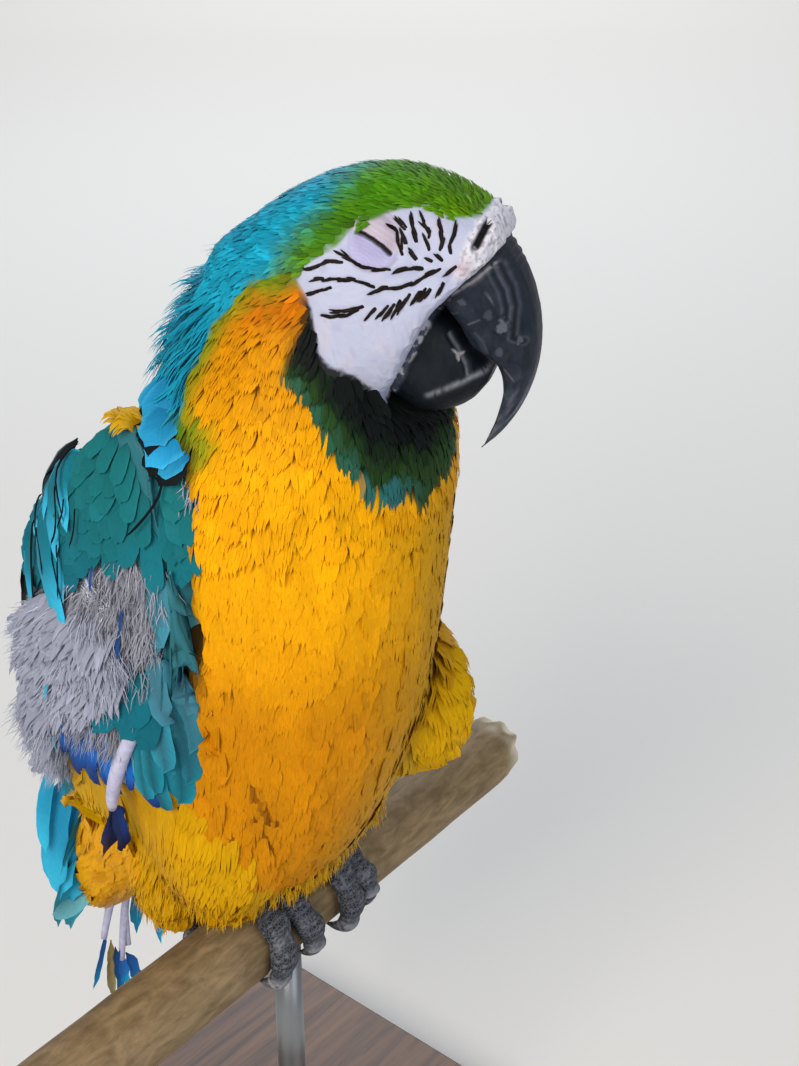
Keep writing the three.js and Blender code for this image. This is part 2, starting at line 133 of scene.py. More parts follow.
world = bpy.data.worlds.new("room")
scene.world = world
world.use_nodes = True
world.node_tree.nodes["Background"].inputs["Color"].default_value = (*painted("#cfd3d8"), 1)
world.node_tree.nodes["Background"].inputs["Strength"].default_value = 0.66
scene.view_settings.view_transform = "Standard"

# ---------------------------------------------------------------------------------------------
# The perch: a cut length of turned hardwood, 32 mm thick, worn thinner where feet slide on it and
# chewed to white splinters at one end. It is a lathe shape whose surface is roughened.

perch_low, perch_high = (np.array(corner) * 1000 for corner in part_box("perch"))
perch_middle = (perch_low + perch_high) / 2
dowel_radius = 16.0
dowel_half = (perch_high - perch_low)[0] / 2


def smooth(low, high, values):
    """0 below low, 1 above high, and an S-shaped rise between."""
    share = np.clip((np.asarray(values, float) - low) / (high - low), 0, 1)
    return share * share * (3 - 2 * share)


def grain(points, scale, seed=0):
    """Smooth random values from -1 to 1 over points in mm; scale is the size of a patch in mm."""
    cells = np.asarray(points, float) / scale + 1000 + seed * 17.3
    low = np.floor(cells).astype(np.int64)
    share = cells - low
    share = share * share * (3 - 2 * share)
    total = np.zeros(len(cells))
    for corner in np.ndindex(2, 2, 2):
        spot = low + corner
        mixed = (spot[:, 0] * 73856093) ^ (spot[:, 1] * 19349663) ^ (spot[:, 2] * 83492791 + seed * 977)
        mixed = (mixed ^ (mixed >> 13)) * 1274126177
        value = ((mixed ^ (mixed >> 16)) & 0xFFFF) / 32767.5 - 1
        weight = np.prod(np.where(corner, share, 1 - share), axis=1)
        total += value * weight
    return total


def build_mesh(name, points, face_groups, material, flat_groups=(), facing=None):
    """A mesh piece from points in mm about the dowel's middle.

    Each group of faces has one count of corners; facing gives the direction that each point is shaded by,
    which the flat groups, the undersides, take the other way round.
    """
    mesh = bpy.data.meshes.new(name)
    mesh.vertices.add(len(points))
    mesh.vertices.foreach_set("co", ((points + perch_middle) / 1000).astype(np.float32).ravel())
    corners = np.concatenate([group.ravel() for group in face_groups])
    totals = np.concatenate([np.full(len(group), group.shape[1]) for group in face_groups])
    mesh.loops.add(len(corners))
    mesh.loops.foreach_set("vertex_index", corners.astype(np.int32))
    mesh.polygons.add(len(totals))
    starts = np.concatenate([[0], np.cumsum(totals)[:-1]])
    mesh.polygons.foreach_set("loop_start", starts.astype(np.int32))
    mesh.update(calc_edges=True)
    flat = np.concatenate([np.full(len(group), i in flat_groups) for i, group in enumerate(face_groups)])
    mesh.polygons.foreach_set("use_smooth", ~flat)
    if facing is not None:
        ways = [facing[group.ravel()] * (-1 if i in flat_groups else 1)
                for i, group in enumerate(face_groups)]
        mesh.normals_split_custom_set(np.concatenate(ways).tolist())
    piece = bpy.data.objects.new(name, mesh)
    mesh.materials.append(material)
    scene.collection.objects.link(piece)
    return piece


def mark(piece, name, values):
    """Stores a colour, or a number, on each point of a piece."""
    kind = "FLOAT_COLOR" if np.ndim(values) == 2 else "FLOAT"
    layer = piece.data.attributes.new(name, kind, "POINT")
    if kind == "FLOAT_COLOR":
        values = np.column_stack([values, np.ones(len(values))])
    layer.data.foreach_set("color" if np.ndim(values) == 2 else "value", np.ravel(values).astype(np.float32))


def seat(piece, slot, *replaced):
    """Fixes a piece to the model's one body, in place of CAD nodes. The slot is not used."""
    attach(piece, "root")
    if replaced:
        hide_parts(*replaced)


def loft(rings):
    """Points and faces of a closed skin over equal rings, counter-clockwise seen from the far end."""
    count, sides = rings.shape[:2]
    points = np.concatenate([rings.reshape(-1, 3), rings[0].mean(0)[None], rings[-1].mean(0)[None]])
    row, side = np.meshgrid(np.arange(count - 1), np.arange(sides), indexing="ij")
    here = (row * sides + side).ravel()
    beside = (row * sides + (side + 1) % sides).ravel()
    quads = np.column_stack([here, beside, beside + sides, here + sides])
    around = np.arange(sides)
    start = np.column_stack([np.full(sides, count * sides), (around + 1) % sides, around])
    last = (count - 1) * sides
    end = np.column_stack([np.full(sides, count * sides + 1), last + around, last + (around + 1) % sides])
    return points, [quads, np.concatenate([start, end])]


# Turned hardwood, unfinished: straw-coloured, with fine dark pores along the grain and grey handling marks.
def turned_wood():
    material, tree = new_material("turned_wood")
    place = add_node(tree, "ShaderNodeTexCoord").outputs["Object"]
    wear = add_node(tree, "ShaderNodeAttribute", {"attribute_name": "wear"}).outputs["Fac"]
    along = add_node(tree, "ShaderNodeMapping", inputs={"Vector": place, "Scale": (24, 80, 80)})
    figure = add_node(tree, "ShaderNodeTexNoise", inputs={
        "Vector": along.outputs[0], "Scale": 3.0, "Detail": 6.0, "Roughness": 0.6, "Distortion": 0.6})
    tone = add_node(tree, "ShaderNodeValToRGB", inputs={"Fac": figure.outputs["Fac"]})
    tone.color_ramp.elements[0].position = 0.32
    tone.color_ramp.elements[0].color = (*painted("#6b5838"), 1)
    tone.color_ramp.elements[1].position = 0.66
    tone.color_ramp.elements[1].color = (*painted("#967f5c"), 1)
    blotch = add_node(tree, "ShaderNodeTexNoise", inputs={
        "Vector": place, "Scale": 45.0, "Detail": 5.0, "Roughness": 0.65})
    stain = add_node(tree, "ShaderNodeMapRange", inputs={
        "Value": blotch.outputs["Fac"], "From Min": 0.52, "From Max": 0.68, "To Max": 0.65})
    stained = add_node(tree, "ShaderNodeMix", {"data_type": "RGBA"}, {
        "Factor": stain.outputs[0], 6: tone.outputs[0], 7: "#604c31"})
    chewed = add_node(tree, "ShaderNodeMix", {"data_type": "RGBA"}, {
        "Factor": wear, 6: stained.outputs[2], 7: "#d8cdb4"})
    pores = add_node(tree, "ShaderNodeMapping", inputs={"Vector": place, "Scale": (60, 900, 900)})
    pitted = add_node(tree, "ShaderNodeTexNoise", inputs={
        "Vector": pores.outputs[0], "Scale": 1.6, "Detail": 3.0})
    relief = add_node(tree, "ShaderNodeBump", inputs={
        "Strength": 0.35, "Distance": 0.0004, "Height": pitted.outputs["Fac"]})
    shader = add_node(tree, "ShaderNodeBsdfPrincipled", inputs={
        "Base Color": chewed.outputs[2], "Roughness": 0.68, "Normal": relief.outputs[0]})
    return finished(material, shader)


def dowel_surface():
    """Rings along X: a long even dowel, a worn waist, and a gnawed end at +X."""
    places = np.concatenate([
        -dowel_half + np.array([0, 0.3, 1.0, 2.0]),
        np.linspace(-dowel_half + 4, dowel_half - 26, 110),
        np.linspace(dowel_half - 25, dowel_half, 44)])
    angle = np.linspace(0, 2 * np.pi, 96, endpoint=False)
    place, turn = np.meshgrid(places, angle, indexing="ij")
    radius = np.full(place.shape, dowel_radius)
    from_sawn = place + dowel_half
    radius -= 2.0 * (1 - smooth(0, 2.0, from_sawn)) ** 2
    on_wood = np.stack([place, radius * np.sin(turn), radius * np.cos(turn)], axis=-1)
    flat = on_wood.reshape(-1, 3)
    dents = grain(flat * (0.25, 1, 1), 5, 3).reshape(place.shape)
    radius += 0.22 * dents - 0.12
    ragged = 1.6 * grain(flat, 7, 8).reshape(place.shape)
    radius -= 0.8 * smooth(-24.8, -23.6, place + ragged) * smooth(41, 39.6, place + ragged)
    to_end = dowel_half - place
    bites = np.abs(grain(flat * (0.5, 1, 1), 6.5, 5).reshape(place.shape))
    gnawed = 1 - smooth(0, 16, to_end + 7 * grain(flat, 9, 6).reshape(place.shape))
    radius -= gnawed * (0.8 + 4.2 * bites)
    radius *= 1 - 0.12 * (1 - smooth(0, 2.5, to_end))
    rings = np.stack([place, -radius * np.sin(turn), radius * np.cos(turn)], axis=-1)
    return rings, gnawed * (0.35 + 0.65 * smooth(0.05, 0.5, bites))


perch_rings, perch_wear = dowel_surface()
points, faces = loft(perch_rings)
perch = build_mesh("perch_dowel", points, faces, turned_wood())
mark(perch, "wear", np.concatenate([perch_wear.ravel(), [0.0, 0.9]]))
seat(perch, "perch_wood", "perch")

# ---------------------------------------------------------------------------------------------
# The skin: one closed hide over head, neck, trunk, rump, thighs and wings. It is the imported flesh
# solids grown together, smoothed, and drawn in by the depth of the plumage that covers it.

flesh_nodes = ["head", "cere", "eye_right", "eye_left", "neck", "trunk", "rump",
               "thigh_right", "thigh_left", "wing_right", "wing_left"]
coat_depths = [1.5, 0, 0, 0, 3.2, 4.2, 4.5, 4.8, 4.8, 3.0, 3.0]
# Their numbers in that list, which the skin keeps as the part that each point lies on
neck_part, trunk_part, rump_part, right_thigh, left_thigh, right_wing, left_wing = range(4, 11)
thighs, wings = [right_thigh, left_thigh], [right_wing, left_wing]
skin_mesh_size = 3.2      # mm between points under the plumage
face_cuts = 7             # each edge of the bare face is cut in eight
fin_thickness = 3.6       # what is thinner than this is a flight feather and no flesh


def node_triangles(node):
    """A CAD node's welded points in mm about the dowel's middle, and its triangles."""
    welded = bmesh.new()
    welded.from_mesh(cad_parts[node].data)
    bmesh.ops.remove_doubles(welded, verts=welded.verts, dist=1e-6)
    bmesh.ops.triangulate(welded, faces=welded.faces)
    welded.normal_update()
    places = np.array([v.co for v in welded.verts]) * 1000 - perch_middle
    outward = np.array([v.normal for v in welded.verts])
    triangles = np.array([[v.index for v in f.verts] for f in welded.faces])
    welded.free()
    return places, outward, triangles


def flesh_block():
    """All flesh solids, grown by half a millimetre so that they run together, as one mesh."""
    places, triangles, owner, count = [], [], [], 0
    for index, node in enumerate(flesh_nodes):
        points, outward, faces = node_triangles(node)
        places.append(points + 0.5 * outward)
        triangles.append(faces + count)
        owner.append(np.full(len(faces), index))
        count += len(points)
    return np.concatenate(places), np.concatenate(triangles), np.concatenate(owner)


def evaluated(piece):
    """The piece's mesh with its modifiers applied; the modifiers are then dropped."""
    graph = bpy.context.evaluated_depsgraph_get()
    mesh = bpy.data.meshes.new_from_object(piece.evaluated_get(graph))
    piece.modifiers.clear()
    return mesh


def mesh_points(mesh):
    points = np.zeros(len(mesh.vertices) * 3)
    mesh.vertices.foreach_get("co", points)
    return points.reshape(-1, 3) * 1000 - perch_middle


def mesh_edges(mesh):
    edges = np.zeros(len(mesh.edges) * 2, np.int32)
    mesh.edges.foreach_get("vertices", edges)
    return edges.reshape(-1, 2)


def relaxed(values, edges, rounds, strength=None, keep=0.5):
    """Values averaged with their neighbours' along the edges, a few times over."""
    ends = np.concatenate([edges[:, 0], edges[:, 1]])
    others = np.concatenate([edges[:, 1], edges[:, 0]])
    count = np.maximum(np.bincount(ends, minlength=len(values)), 1)
    values = np.array(values, float)
    for _ in range(rounds):
        columns = values.reshape(len(values), -1)
        mean = np.column_stack([np.bincount(ends, column[others], len(values)) for column in columns.T])
        step = (mean / count[:, None] - columns) * (1 - keep)
        if strength is not None:
            step *= strength[:, None]
        values = (columns + step).reshape(values.shape)
    return values


def outward_of(points, triangles):
    """Unit normals at the points of a mesh of triangles or quads."""
    first, second, third = (points[triangles[:, i]] for i in range(3))
    normal = np.cross(second - first, third - first)
    total = np.column_stack([
        sum(np.bincount(triangles[:, i], normal[:, axis], len(points)) for i in range(triangles.shape[1]))
        for axis in range(3)])
    return total / np.maximum(np.linalg.norm(total, axis=1), 1e-9)[:, None]


# The head is turned to the bird's left about the neck, and the neck shares out that turn.
head_turn = np.radians(22)
neck_axis_y = -35.0


def turned(points, angle):
    """Forward, up and across (left is positive) from the neck's axis, for a bird turned by angle."""
    x, y, z = points[:, 0], points[:, 1] - neck_axis_y, points[:, 2]
    return np.column_stack([x * np.sin(angle) - y * np.cos(angle), z, x * np.cos(angle) + y * np.sin(angle)])


def head_view(points):
    return turned(points, head_turn)


def neck_view(points):
    return turned(points, head_turn * smooth(225, 285, points[:, 2]))


def from_head(forward, up, across):
    """A point of the head, given by forward, up and across, in mm about the dowel's middle."""
    x = across * np.cos(head_turn) + forward * np.sin(head_turn)
    y = across * np.sin(head_turn) - forward * np.cos(head_turn) + neck_axis_y
    return np.stack(np.broadcast_arrays(x, y, up), axis=-1)


def inside(outline, places):
    """How far 2-D places lie inside a closed outline, in mm; outside it is negative."""
    outline = np.asarray(outline, float)
    nearest = np.full(len(places), 1e9)
    crossings = np.zeros(len(places), int)
    for start, end in zip(outline, np.roll(outline, -1, axis=0)):
        run = end - start
        share = np.clip((places - start) @ run / (run @ run), 0, 1)
        nearest = np.minimum(nearest, np.linalg.norm(places - start - share[:, None] * run, axis=1))
        straddles = (start[1] > places[:, 1]) != (end[1] > places[:, 1])
        reach = start[0] + (places[:, 1] - start[1]) * run[0] / (run[1] if run[1] else 1e-9)
        crossings += straddles & (places[:, 0] < reach)
    return np.where(crossings % 2, nearest, -nearest)


# The bare face as forward and up in the head: over the eye, across the forehead's edge at the cere,
# below the bill, and back up the cheek.
bare_face = [
    (-3.0, 291.5), (-2.0, 293.8), (4.2, 298.2), (10.2, 302.2), (13.1, 306.3), (14.3, 308.6), (18.7, 309.6),
    (27, 312.2), (35, 313.2), (41, 309.8), (48, 309.4), (60, 314), (80, 305), (80, 262), (30, 262),
    (23.5, 253), (20.3, 249.6), (18.7, 256.2), (14.7, 262), (7.9, 265.8), (4.5, 269.8), (3.6, 275.8),
    (2.4, 283), (0.5, 287)]


def bareness(points):
    """How far inside the bare face a point lies, in mm."""
    forward, up, _ = head_view(points).T
    depth = inside(bare_face, np.column_stack([forward, up]))
    return np.where(points[:, 2] > 235, depth, -50)


# The outline of the wings' flesh as back from the dowel at each height, at its front and rear edges
wing_front = {-1: [(48, 50), (66, 18), (88, -2), (118, -9), (200, -11), (231, -4), (239, 5)],
              1: [(-6, 64), (14, 46), (48, 12), (88, -5), (118, -10), (200, -12), (231, -4), (239, 5)]}
wing_rear = {-1: [(48, 74), (66, 84), (88, 84), (118, 80)], 1: [(-6, 92), (14, 96), (88, 88), (118, 82)]}
for edge in wing_rear.values():
    edge += [(150, 76), (178, 68), (200, 57), (218, 43), (239, 18)]


def trimmed(points, part):
    """Pushes the thin flight feathers of the solids back to the edges of the wings' flesh."""
    points = points.copy()
    for sign, wing in zip((-1, 1), wings):
        on_wing = (part == wing) & (points[:, 0] * sign > 44) & (points[:, 2] < 245)
        x, y, z = points[on_wing].T
        front, rear = np.array(wing_front[sign], float), np.array(wing_rear[sign], float)
        low = np.interp(y, front[4::-1, 1], front[4::-1, 0])
        z = np.maximum(z, low)
        y = np.clip(y, np.interp(z, *front.T), np.interp(z, *rear.T))
        slope = smooth(45, 108, z) if sign < 0 else 1.0
        points[on_wing] = np.column_stack([sign * 46 + (x - sign * 46) * (0.2 + 0.8 * slope), y, z])
    return points


def relaxed_where(chosen, points, edges, rounds, keep):
    """Averages chosen points only, as relaxed does; the others stay."""
    near = edges[chosen[edges].any(axis=1)]
    used, near = np.unique(near, return_inverse=True)
    points = points.copy()
    points[used] = relaxed(points[used], near.reshape(-1, 2), rounds, chosen[used].astype(float), keep)
    return points


def without_fins(points, mesh, edges):
    """Draws the stubs of thin flight feathers back into the hide, which has none."""
    shell = BVHTree.FromPolygons(points.tolist(), [list(f.vertices) for f in mesh.polygons])
    inward = -outward_of(points, quads_of(mesh))
    lines = zip(map(Vector, points), map(Vector, inward))
    depth = [shell.ray_cast(place + 0.2 * way, way)[3] or 99 for place, way in lines]
    thin = relaxed(np.array(depth) < fin_thickness, edges, 3) > 0.12
    return relaxed_where(thin, points, edges, 2500, keep=0.05)


def quads_of(mesh):
    return np.array([list(f.vertices) for f in mesh.polygons if len(f.vertices) == 4])


def grown_skin():
    """The flesh block as one even mesh, smoothed and drawn in, with a finer net over the face."""
    places, triangles, owner = flesh_block()
    block = build_mesh("skin", places, [triangles], studio_paint)
    remesh = block.modifiers.new("one_hide", "REMESH")
    remesh.mode = "VOXEL"
    remesh.voxel_size = skin_mesh_size / 1000
    mesh = evaluated(block)
    points, edges = mesh_points(mesh), mesh_edges(mesh)
    solids = BVHTree.FromPolygons(places.tolist(), triangles.tolist())
    part = owner[np.array([solids.find_nearest(p)[2] for p in points.tolist()])]
    points = trimmed(points, part)
    for _ in range(9):
        points = relaxed(points, edges, 1, keep=0.4)
        points = relaxed(points, edges, 1, keep=1.62)
    points = without_fins(points, mesh, edges)
    depth = np.array(coat_depths, float)[part]
    depth[bareness(points) > 0] = 0
    depth = relaxed(depth, edges, 6)
    points = points - depth[:, None] * outward_of(points, quads_of(mesh))
    mesh.vertices.foreach_set("co", ((points + perch_middle) / 1000).ravel())
    label = mesh.attributes.new("part", "INT", "POINT")
    label.data.foreach_set("value", part.astype(np.int32))
    cover = mesh.attributes.new("coat", "FLOAT", "POINT")
    cover.data.foreach_set("value", depth.astype(np.float32))
    fine = bmesh.new()
    fine.from_mesh(mesh)
    fine.verts.ensure_lookup_table()
    bare = bareness(points) > -1.5
    edges_cut = [e for e in fine.edges if bare[e.verts[0].index] and bare[e.verts[1].index]]
    bmesh.ops.subdivide_edges(fine, edges=edges_cut, cuts=face_cuts, use_grid_fill=True)
    bmesh.ops.triangulate(fine, faces=[f for f in fine.faces if len(f.verts) > 4])
    fine.to_mesh(mesh)
    fine.free()
    points, edges = mesh_points(mesh), mesh_edges(mesh)
    bare = bareness(points) > -2.5
    for _ in range(30):
        points = relaxed_where(bare, points, edges, 1, keep=0.4)
        points = relaxed_where(bare, points, edges, 1, keep=1.62)
    mesh.vertices.foreach_set("co", ((points + perch_middle) / 1000).ravel())
    old, block.data = block.data, mesh
    bpy.data.meshes.remove(old)
    return block


skin = grown_skin()

# ---------------------------------------------------------------------------------------------
# The bare face: white skin with closed lids, fine folds, a pepper-grey cere and slit nostrils.
# All places are forward and up in the head, the same on both sides.

eye_middle, eye_out = np.array([20.6, 304.0]), 19.6
lid_radius = 7.4
lid_slit = [(15.3, 306.8), (18.4, 306.6), (21.1, 305.6), (23.7, 303.7), (25.7, 301.2)]
nostril_slit = [(51.3, 308.0), (50.6, 306.0), (49.8, 303.4)]
cere_outline = [(45.2, 295.5), (46.2, 300), (47, 305), (49, 309.6), (60, 316), (68, 308), (50, 290)]
lore_crease = [(39, 288), (42.7, 293), (46, 298)]


def blend(first, second, share):
    """Two colours, as arrays or sRGB hex, mixed by a share for each point."""
    first, second = (painted(colour) if isinstance(colour, str) else colour for colour in (first, second))
    return first + (second - first) * np.asarray(share)[:, None]


def off_line(line, places):
    """Distance of 2-D places from a broken line."""
    nearest = np.full(len(places), 1e9)
    line = np.asarray(line, float)
    for start, end in zip(line, line[1:]):
        run = end - start
        share = np.clip((places - start) @ run / (run @ run), 0, 1)
        nearest = np.minimum(nearest, np.linalg.norm(places - start - share[:, None] * run, axis=1))
    return nearest


def bump(distance, width):
    return np.exp(-(distance / width) ** 2)


def face_relief(points, outward):
    """Lids over the eyeballs, their slit, folds, wrinkles, the cere's pores and the nostrils."""
    forward, up, across = head_view(points).T
    places = np.column_stack([forward, up])
    out = np.abs(across)
    reach = np.linalg.norm(places - eye_middle, axis=1)
    dome = eye_out + np.sqrt(np.clip(lid_radius ** 2 - reach ** 2, 0, None)) - 8 * smooth(6.4, 8.4, reach)
    rise = np.log1p(np.exp(np.clip((dome - out) / 0.5, -30, 30))) * 0.5 * (out > 10)
    moved = from_head(forward, up, across + np.sign(across) * rise)
    slit = off_line(lid_slit, places)
    on_lid = smooth(9.5, 6.5, reach) * (out > 10)
    height = on_lid * (0.22 * bump(slit - 1.15, 0.5) - 1.15 * bump(slit, 0.62))
    height += on_lid * smooth(1.2, 2.2, slit) * 0.07 * np.sin(slit * 5.2 + 1.2 * grain(points, 3, 81))
    height -= 0.3 * bump(reach - 8.3, 0.6) * (out > 10)
    skin_part_share = smooth(0, 1.5, bareness(points))
    cheek = smooth(284, 276, up)
    folds = grain(np.column_stack([(forward + 0.25 * up) * 3.2, up * 0.55, across]), 3.0, 82)
    height += skin_part_share * cheek * (0.16 * folds + 0.07 * grain(points, 1.3, 83))
    upper = 1 - cheek
    rows = grain(np.column_stack([forward * 0.5, (up - 0.12 * forward) * 2.6, across]), 2.6, 84)
    height += skin_part_share * upper * (1 - on_lid) * (0.10 * rows + 0.05 * grain(points, 1.1, 85))
    cere = smooth(-1.2, 1.2, inside(cere_outline, places))
    height += cere * (0.35 + 0.12 * grain(points, 1.2, 86) + 0.22 * grain(points, 3.2, 87))
    height -= 2.0 * bump(off_line(nostril_slit, places), 0.95) * (out > 8)
    height += 0.35 * bump(off_line(nostril_slit, places) - 2.0, 0.7) * (out > 8)
    height -= 0.35 * bump(off_line(lore_crease, places), 0.8)
    return moved + outward * height[:, None]


def face_paint(points):
    """The face's colours: chalk white with lilac lids, black lash line, nostrils painted black as shade in
    their openings, painted shade in the folds and the groove round each lid, and a speckled cere.
    """
    forward, up, across = head_view(points).T
    places = np.column_stack([forward, up])
    out = np.abs(across)
    paint = blend("#b3b8d0", "#9fa3c2", 0.5 * smooth(0.1, 0.8, grain(points, 4.5, 91)))
    paint = blend(paint, "#bdb9ca", 0.5 * smooth(0.2, 0.8, grain(points, 6, 92)))
    reach = np.linalg.norm(places - eye_middle, axis=1)
    slit = off_line(lid_slit, places)
    above = up > np.interp(forward, *np.array(lid_slit).T)
    lid = smooth(10.5, 5.5, reach) * (out > 10)
    paint = blend(paint, "#a7a2cc", lid * ~above * 0.85)
    paint = blend(paint, "#b9a9b8", lid * above * 0.8)
    # painted shade in the groove round the lid
    paint = blend(paint, "#8f8aa0", 0.55 * bump(reach - 8.3, 0.5) * (out > 10) * (up < 300))
    paint = blend(paint, "#15100f", smooth(0.95, 0.55, slit) * (out > 10))
    # painted shade in the troughs of the folds
    folds = grain(np.column_stack([(forward + 0.25 * up) * 3.2, up * 0.55, across]), 3.0, 82)
    paint = blend(paint, "#a7a4c0", 0.45 * smooth(-0.2, -0.8, folds) * smooth(284, 276, up))
    cere = smooth(-1.2, 0.8, inside(cere_outline, places) + 0.8 * grain(points, 2, 93))
    speckle = smooth(0.05, 0.5, grain(points, 0.85, 94) + 0.35 * grain(points, 2.4, 95))
    peppered = blend("#d2d1dc", "#7d7985", 0.6 * speckle)
    paint = blend(paint, peppered, cere)
    paint = blend(paint, "#b79aa6", 0.6 * bump(np.linalg.norm(places - (46.5, 297.6), axis=1), 2.4))
    # the nostril slits are painted near black: painted shade in their openings
    paint = blend(paint, "#0b0a0c", smooth(1.5, 0.8, off_line(nostril_slit, places)) * (out > 8))
    return paint


def finished_face():
    """Presses the relief into the skin, and shades the skin smooth."""
    points = mesh_points(skin.data)
    normals = np.zeros(len(points) * 3)
    skin.data.vertices.foreach_get("normal", normals)
    bare = bareness(points) > -3
    points[bare] = face_relief(points[bare], normals.reshape(-1, 3)[bare])
    skin.data.vertices.foreach_set("co", ((points + perch_middle) / 1000).ravel())
    skin.data.update()
    skin.data.polygons.foreach_set("use_smooth", np.ones(len(skin.data.polygons), bool))


finished_face()

# ---------------------------------------------------------------------------------------------
# Markings: where each colour of the plumage lies on the body, with painted shade in grooves, partings
# and on the far side, and painted light on the rump. Skin and feathers both take theirs from here, so
# that nothing odd shows between two feathers.

crown_green = painted("#427d0c")
forehead_green = painted("#5c8e03")
nape_cyan = painted("#128fae")
nape_rim_green = painted("#4f8214")
ear_orange = painted("#c56c00")
neck_orange = painted("#d08a00")
breast_gold = painted("#e9a300")
belly_orange = painted("#c67f00")
flank_yellow = painted("#c99a00")
bib_black = painted("#0e1413")
bib_green = painted("#24421a")
bib_teal = painted("#2a5a44")
covert_teal = painted("#1c6a76")
back_blue = painted("#1f7ea6")
down_grey = painted("#a3a7b8")
wing_blue = painted("#1c6fae")

# Up from the dowel, and how far forward of the neck's axis the blue of the nape ends there
nape_edge = np.array([
    (0, -112), (60, -100), (110, -78), (150, -45), (225, -25), (239, -32), (252, -34), (261, -33), (275, -27),
    (282, -23), (290, -14), (294, -3), (300, 8)])
# Distance from the middle plane, and how low the bib reaches there
bib_edge = np.array([
    (0, 213), (12, 218), (21, 220), (25, 229), (32, 239), (35.5, 251), (37.5, 262), (39, 278)])
bib_back = -2.0
# Back from the dowel, and how low the coverts of the moulting right wing reach there
moult_edge = np.array([
    (-20, 189), (0, 190), (10, 190), (19, 183), (27, 176), (43, 170), (58, 160), (80, 150)])
# The same for the foot of its bare part, below which the yellow flank shows
moult_foot = np.array([(-20, 102), (0, 96), (20, 90), (48, 86), (56, 66), (72, 54), (90, 48)])

lemon_and_shade_side = painted("#c19200")
parting_shade_brown = painted("#5f3000")
# Places where the fluff of the belly parts, painted dark brown as shade in the crevices, and how far each
# reaches
belly_parting_shades = [
    (np.linspace((-44, -29, 103), (-37, -33, 83), 12), 3.2),
    (np.linspace((-42, -28, 86), (-36, -29, 68), 12), 2.0),
    (np.linspace((-49, -21, 76), (-49, -22, 66), 8), 2.2)]


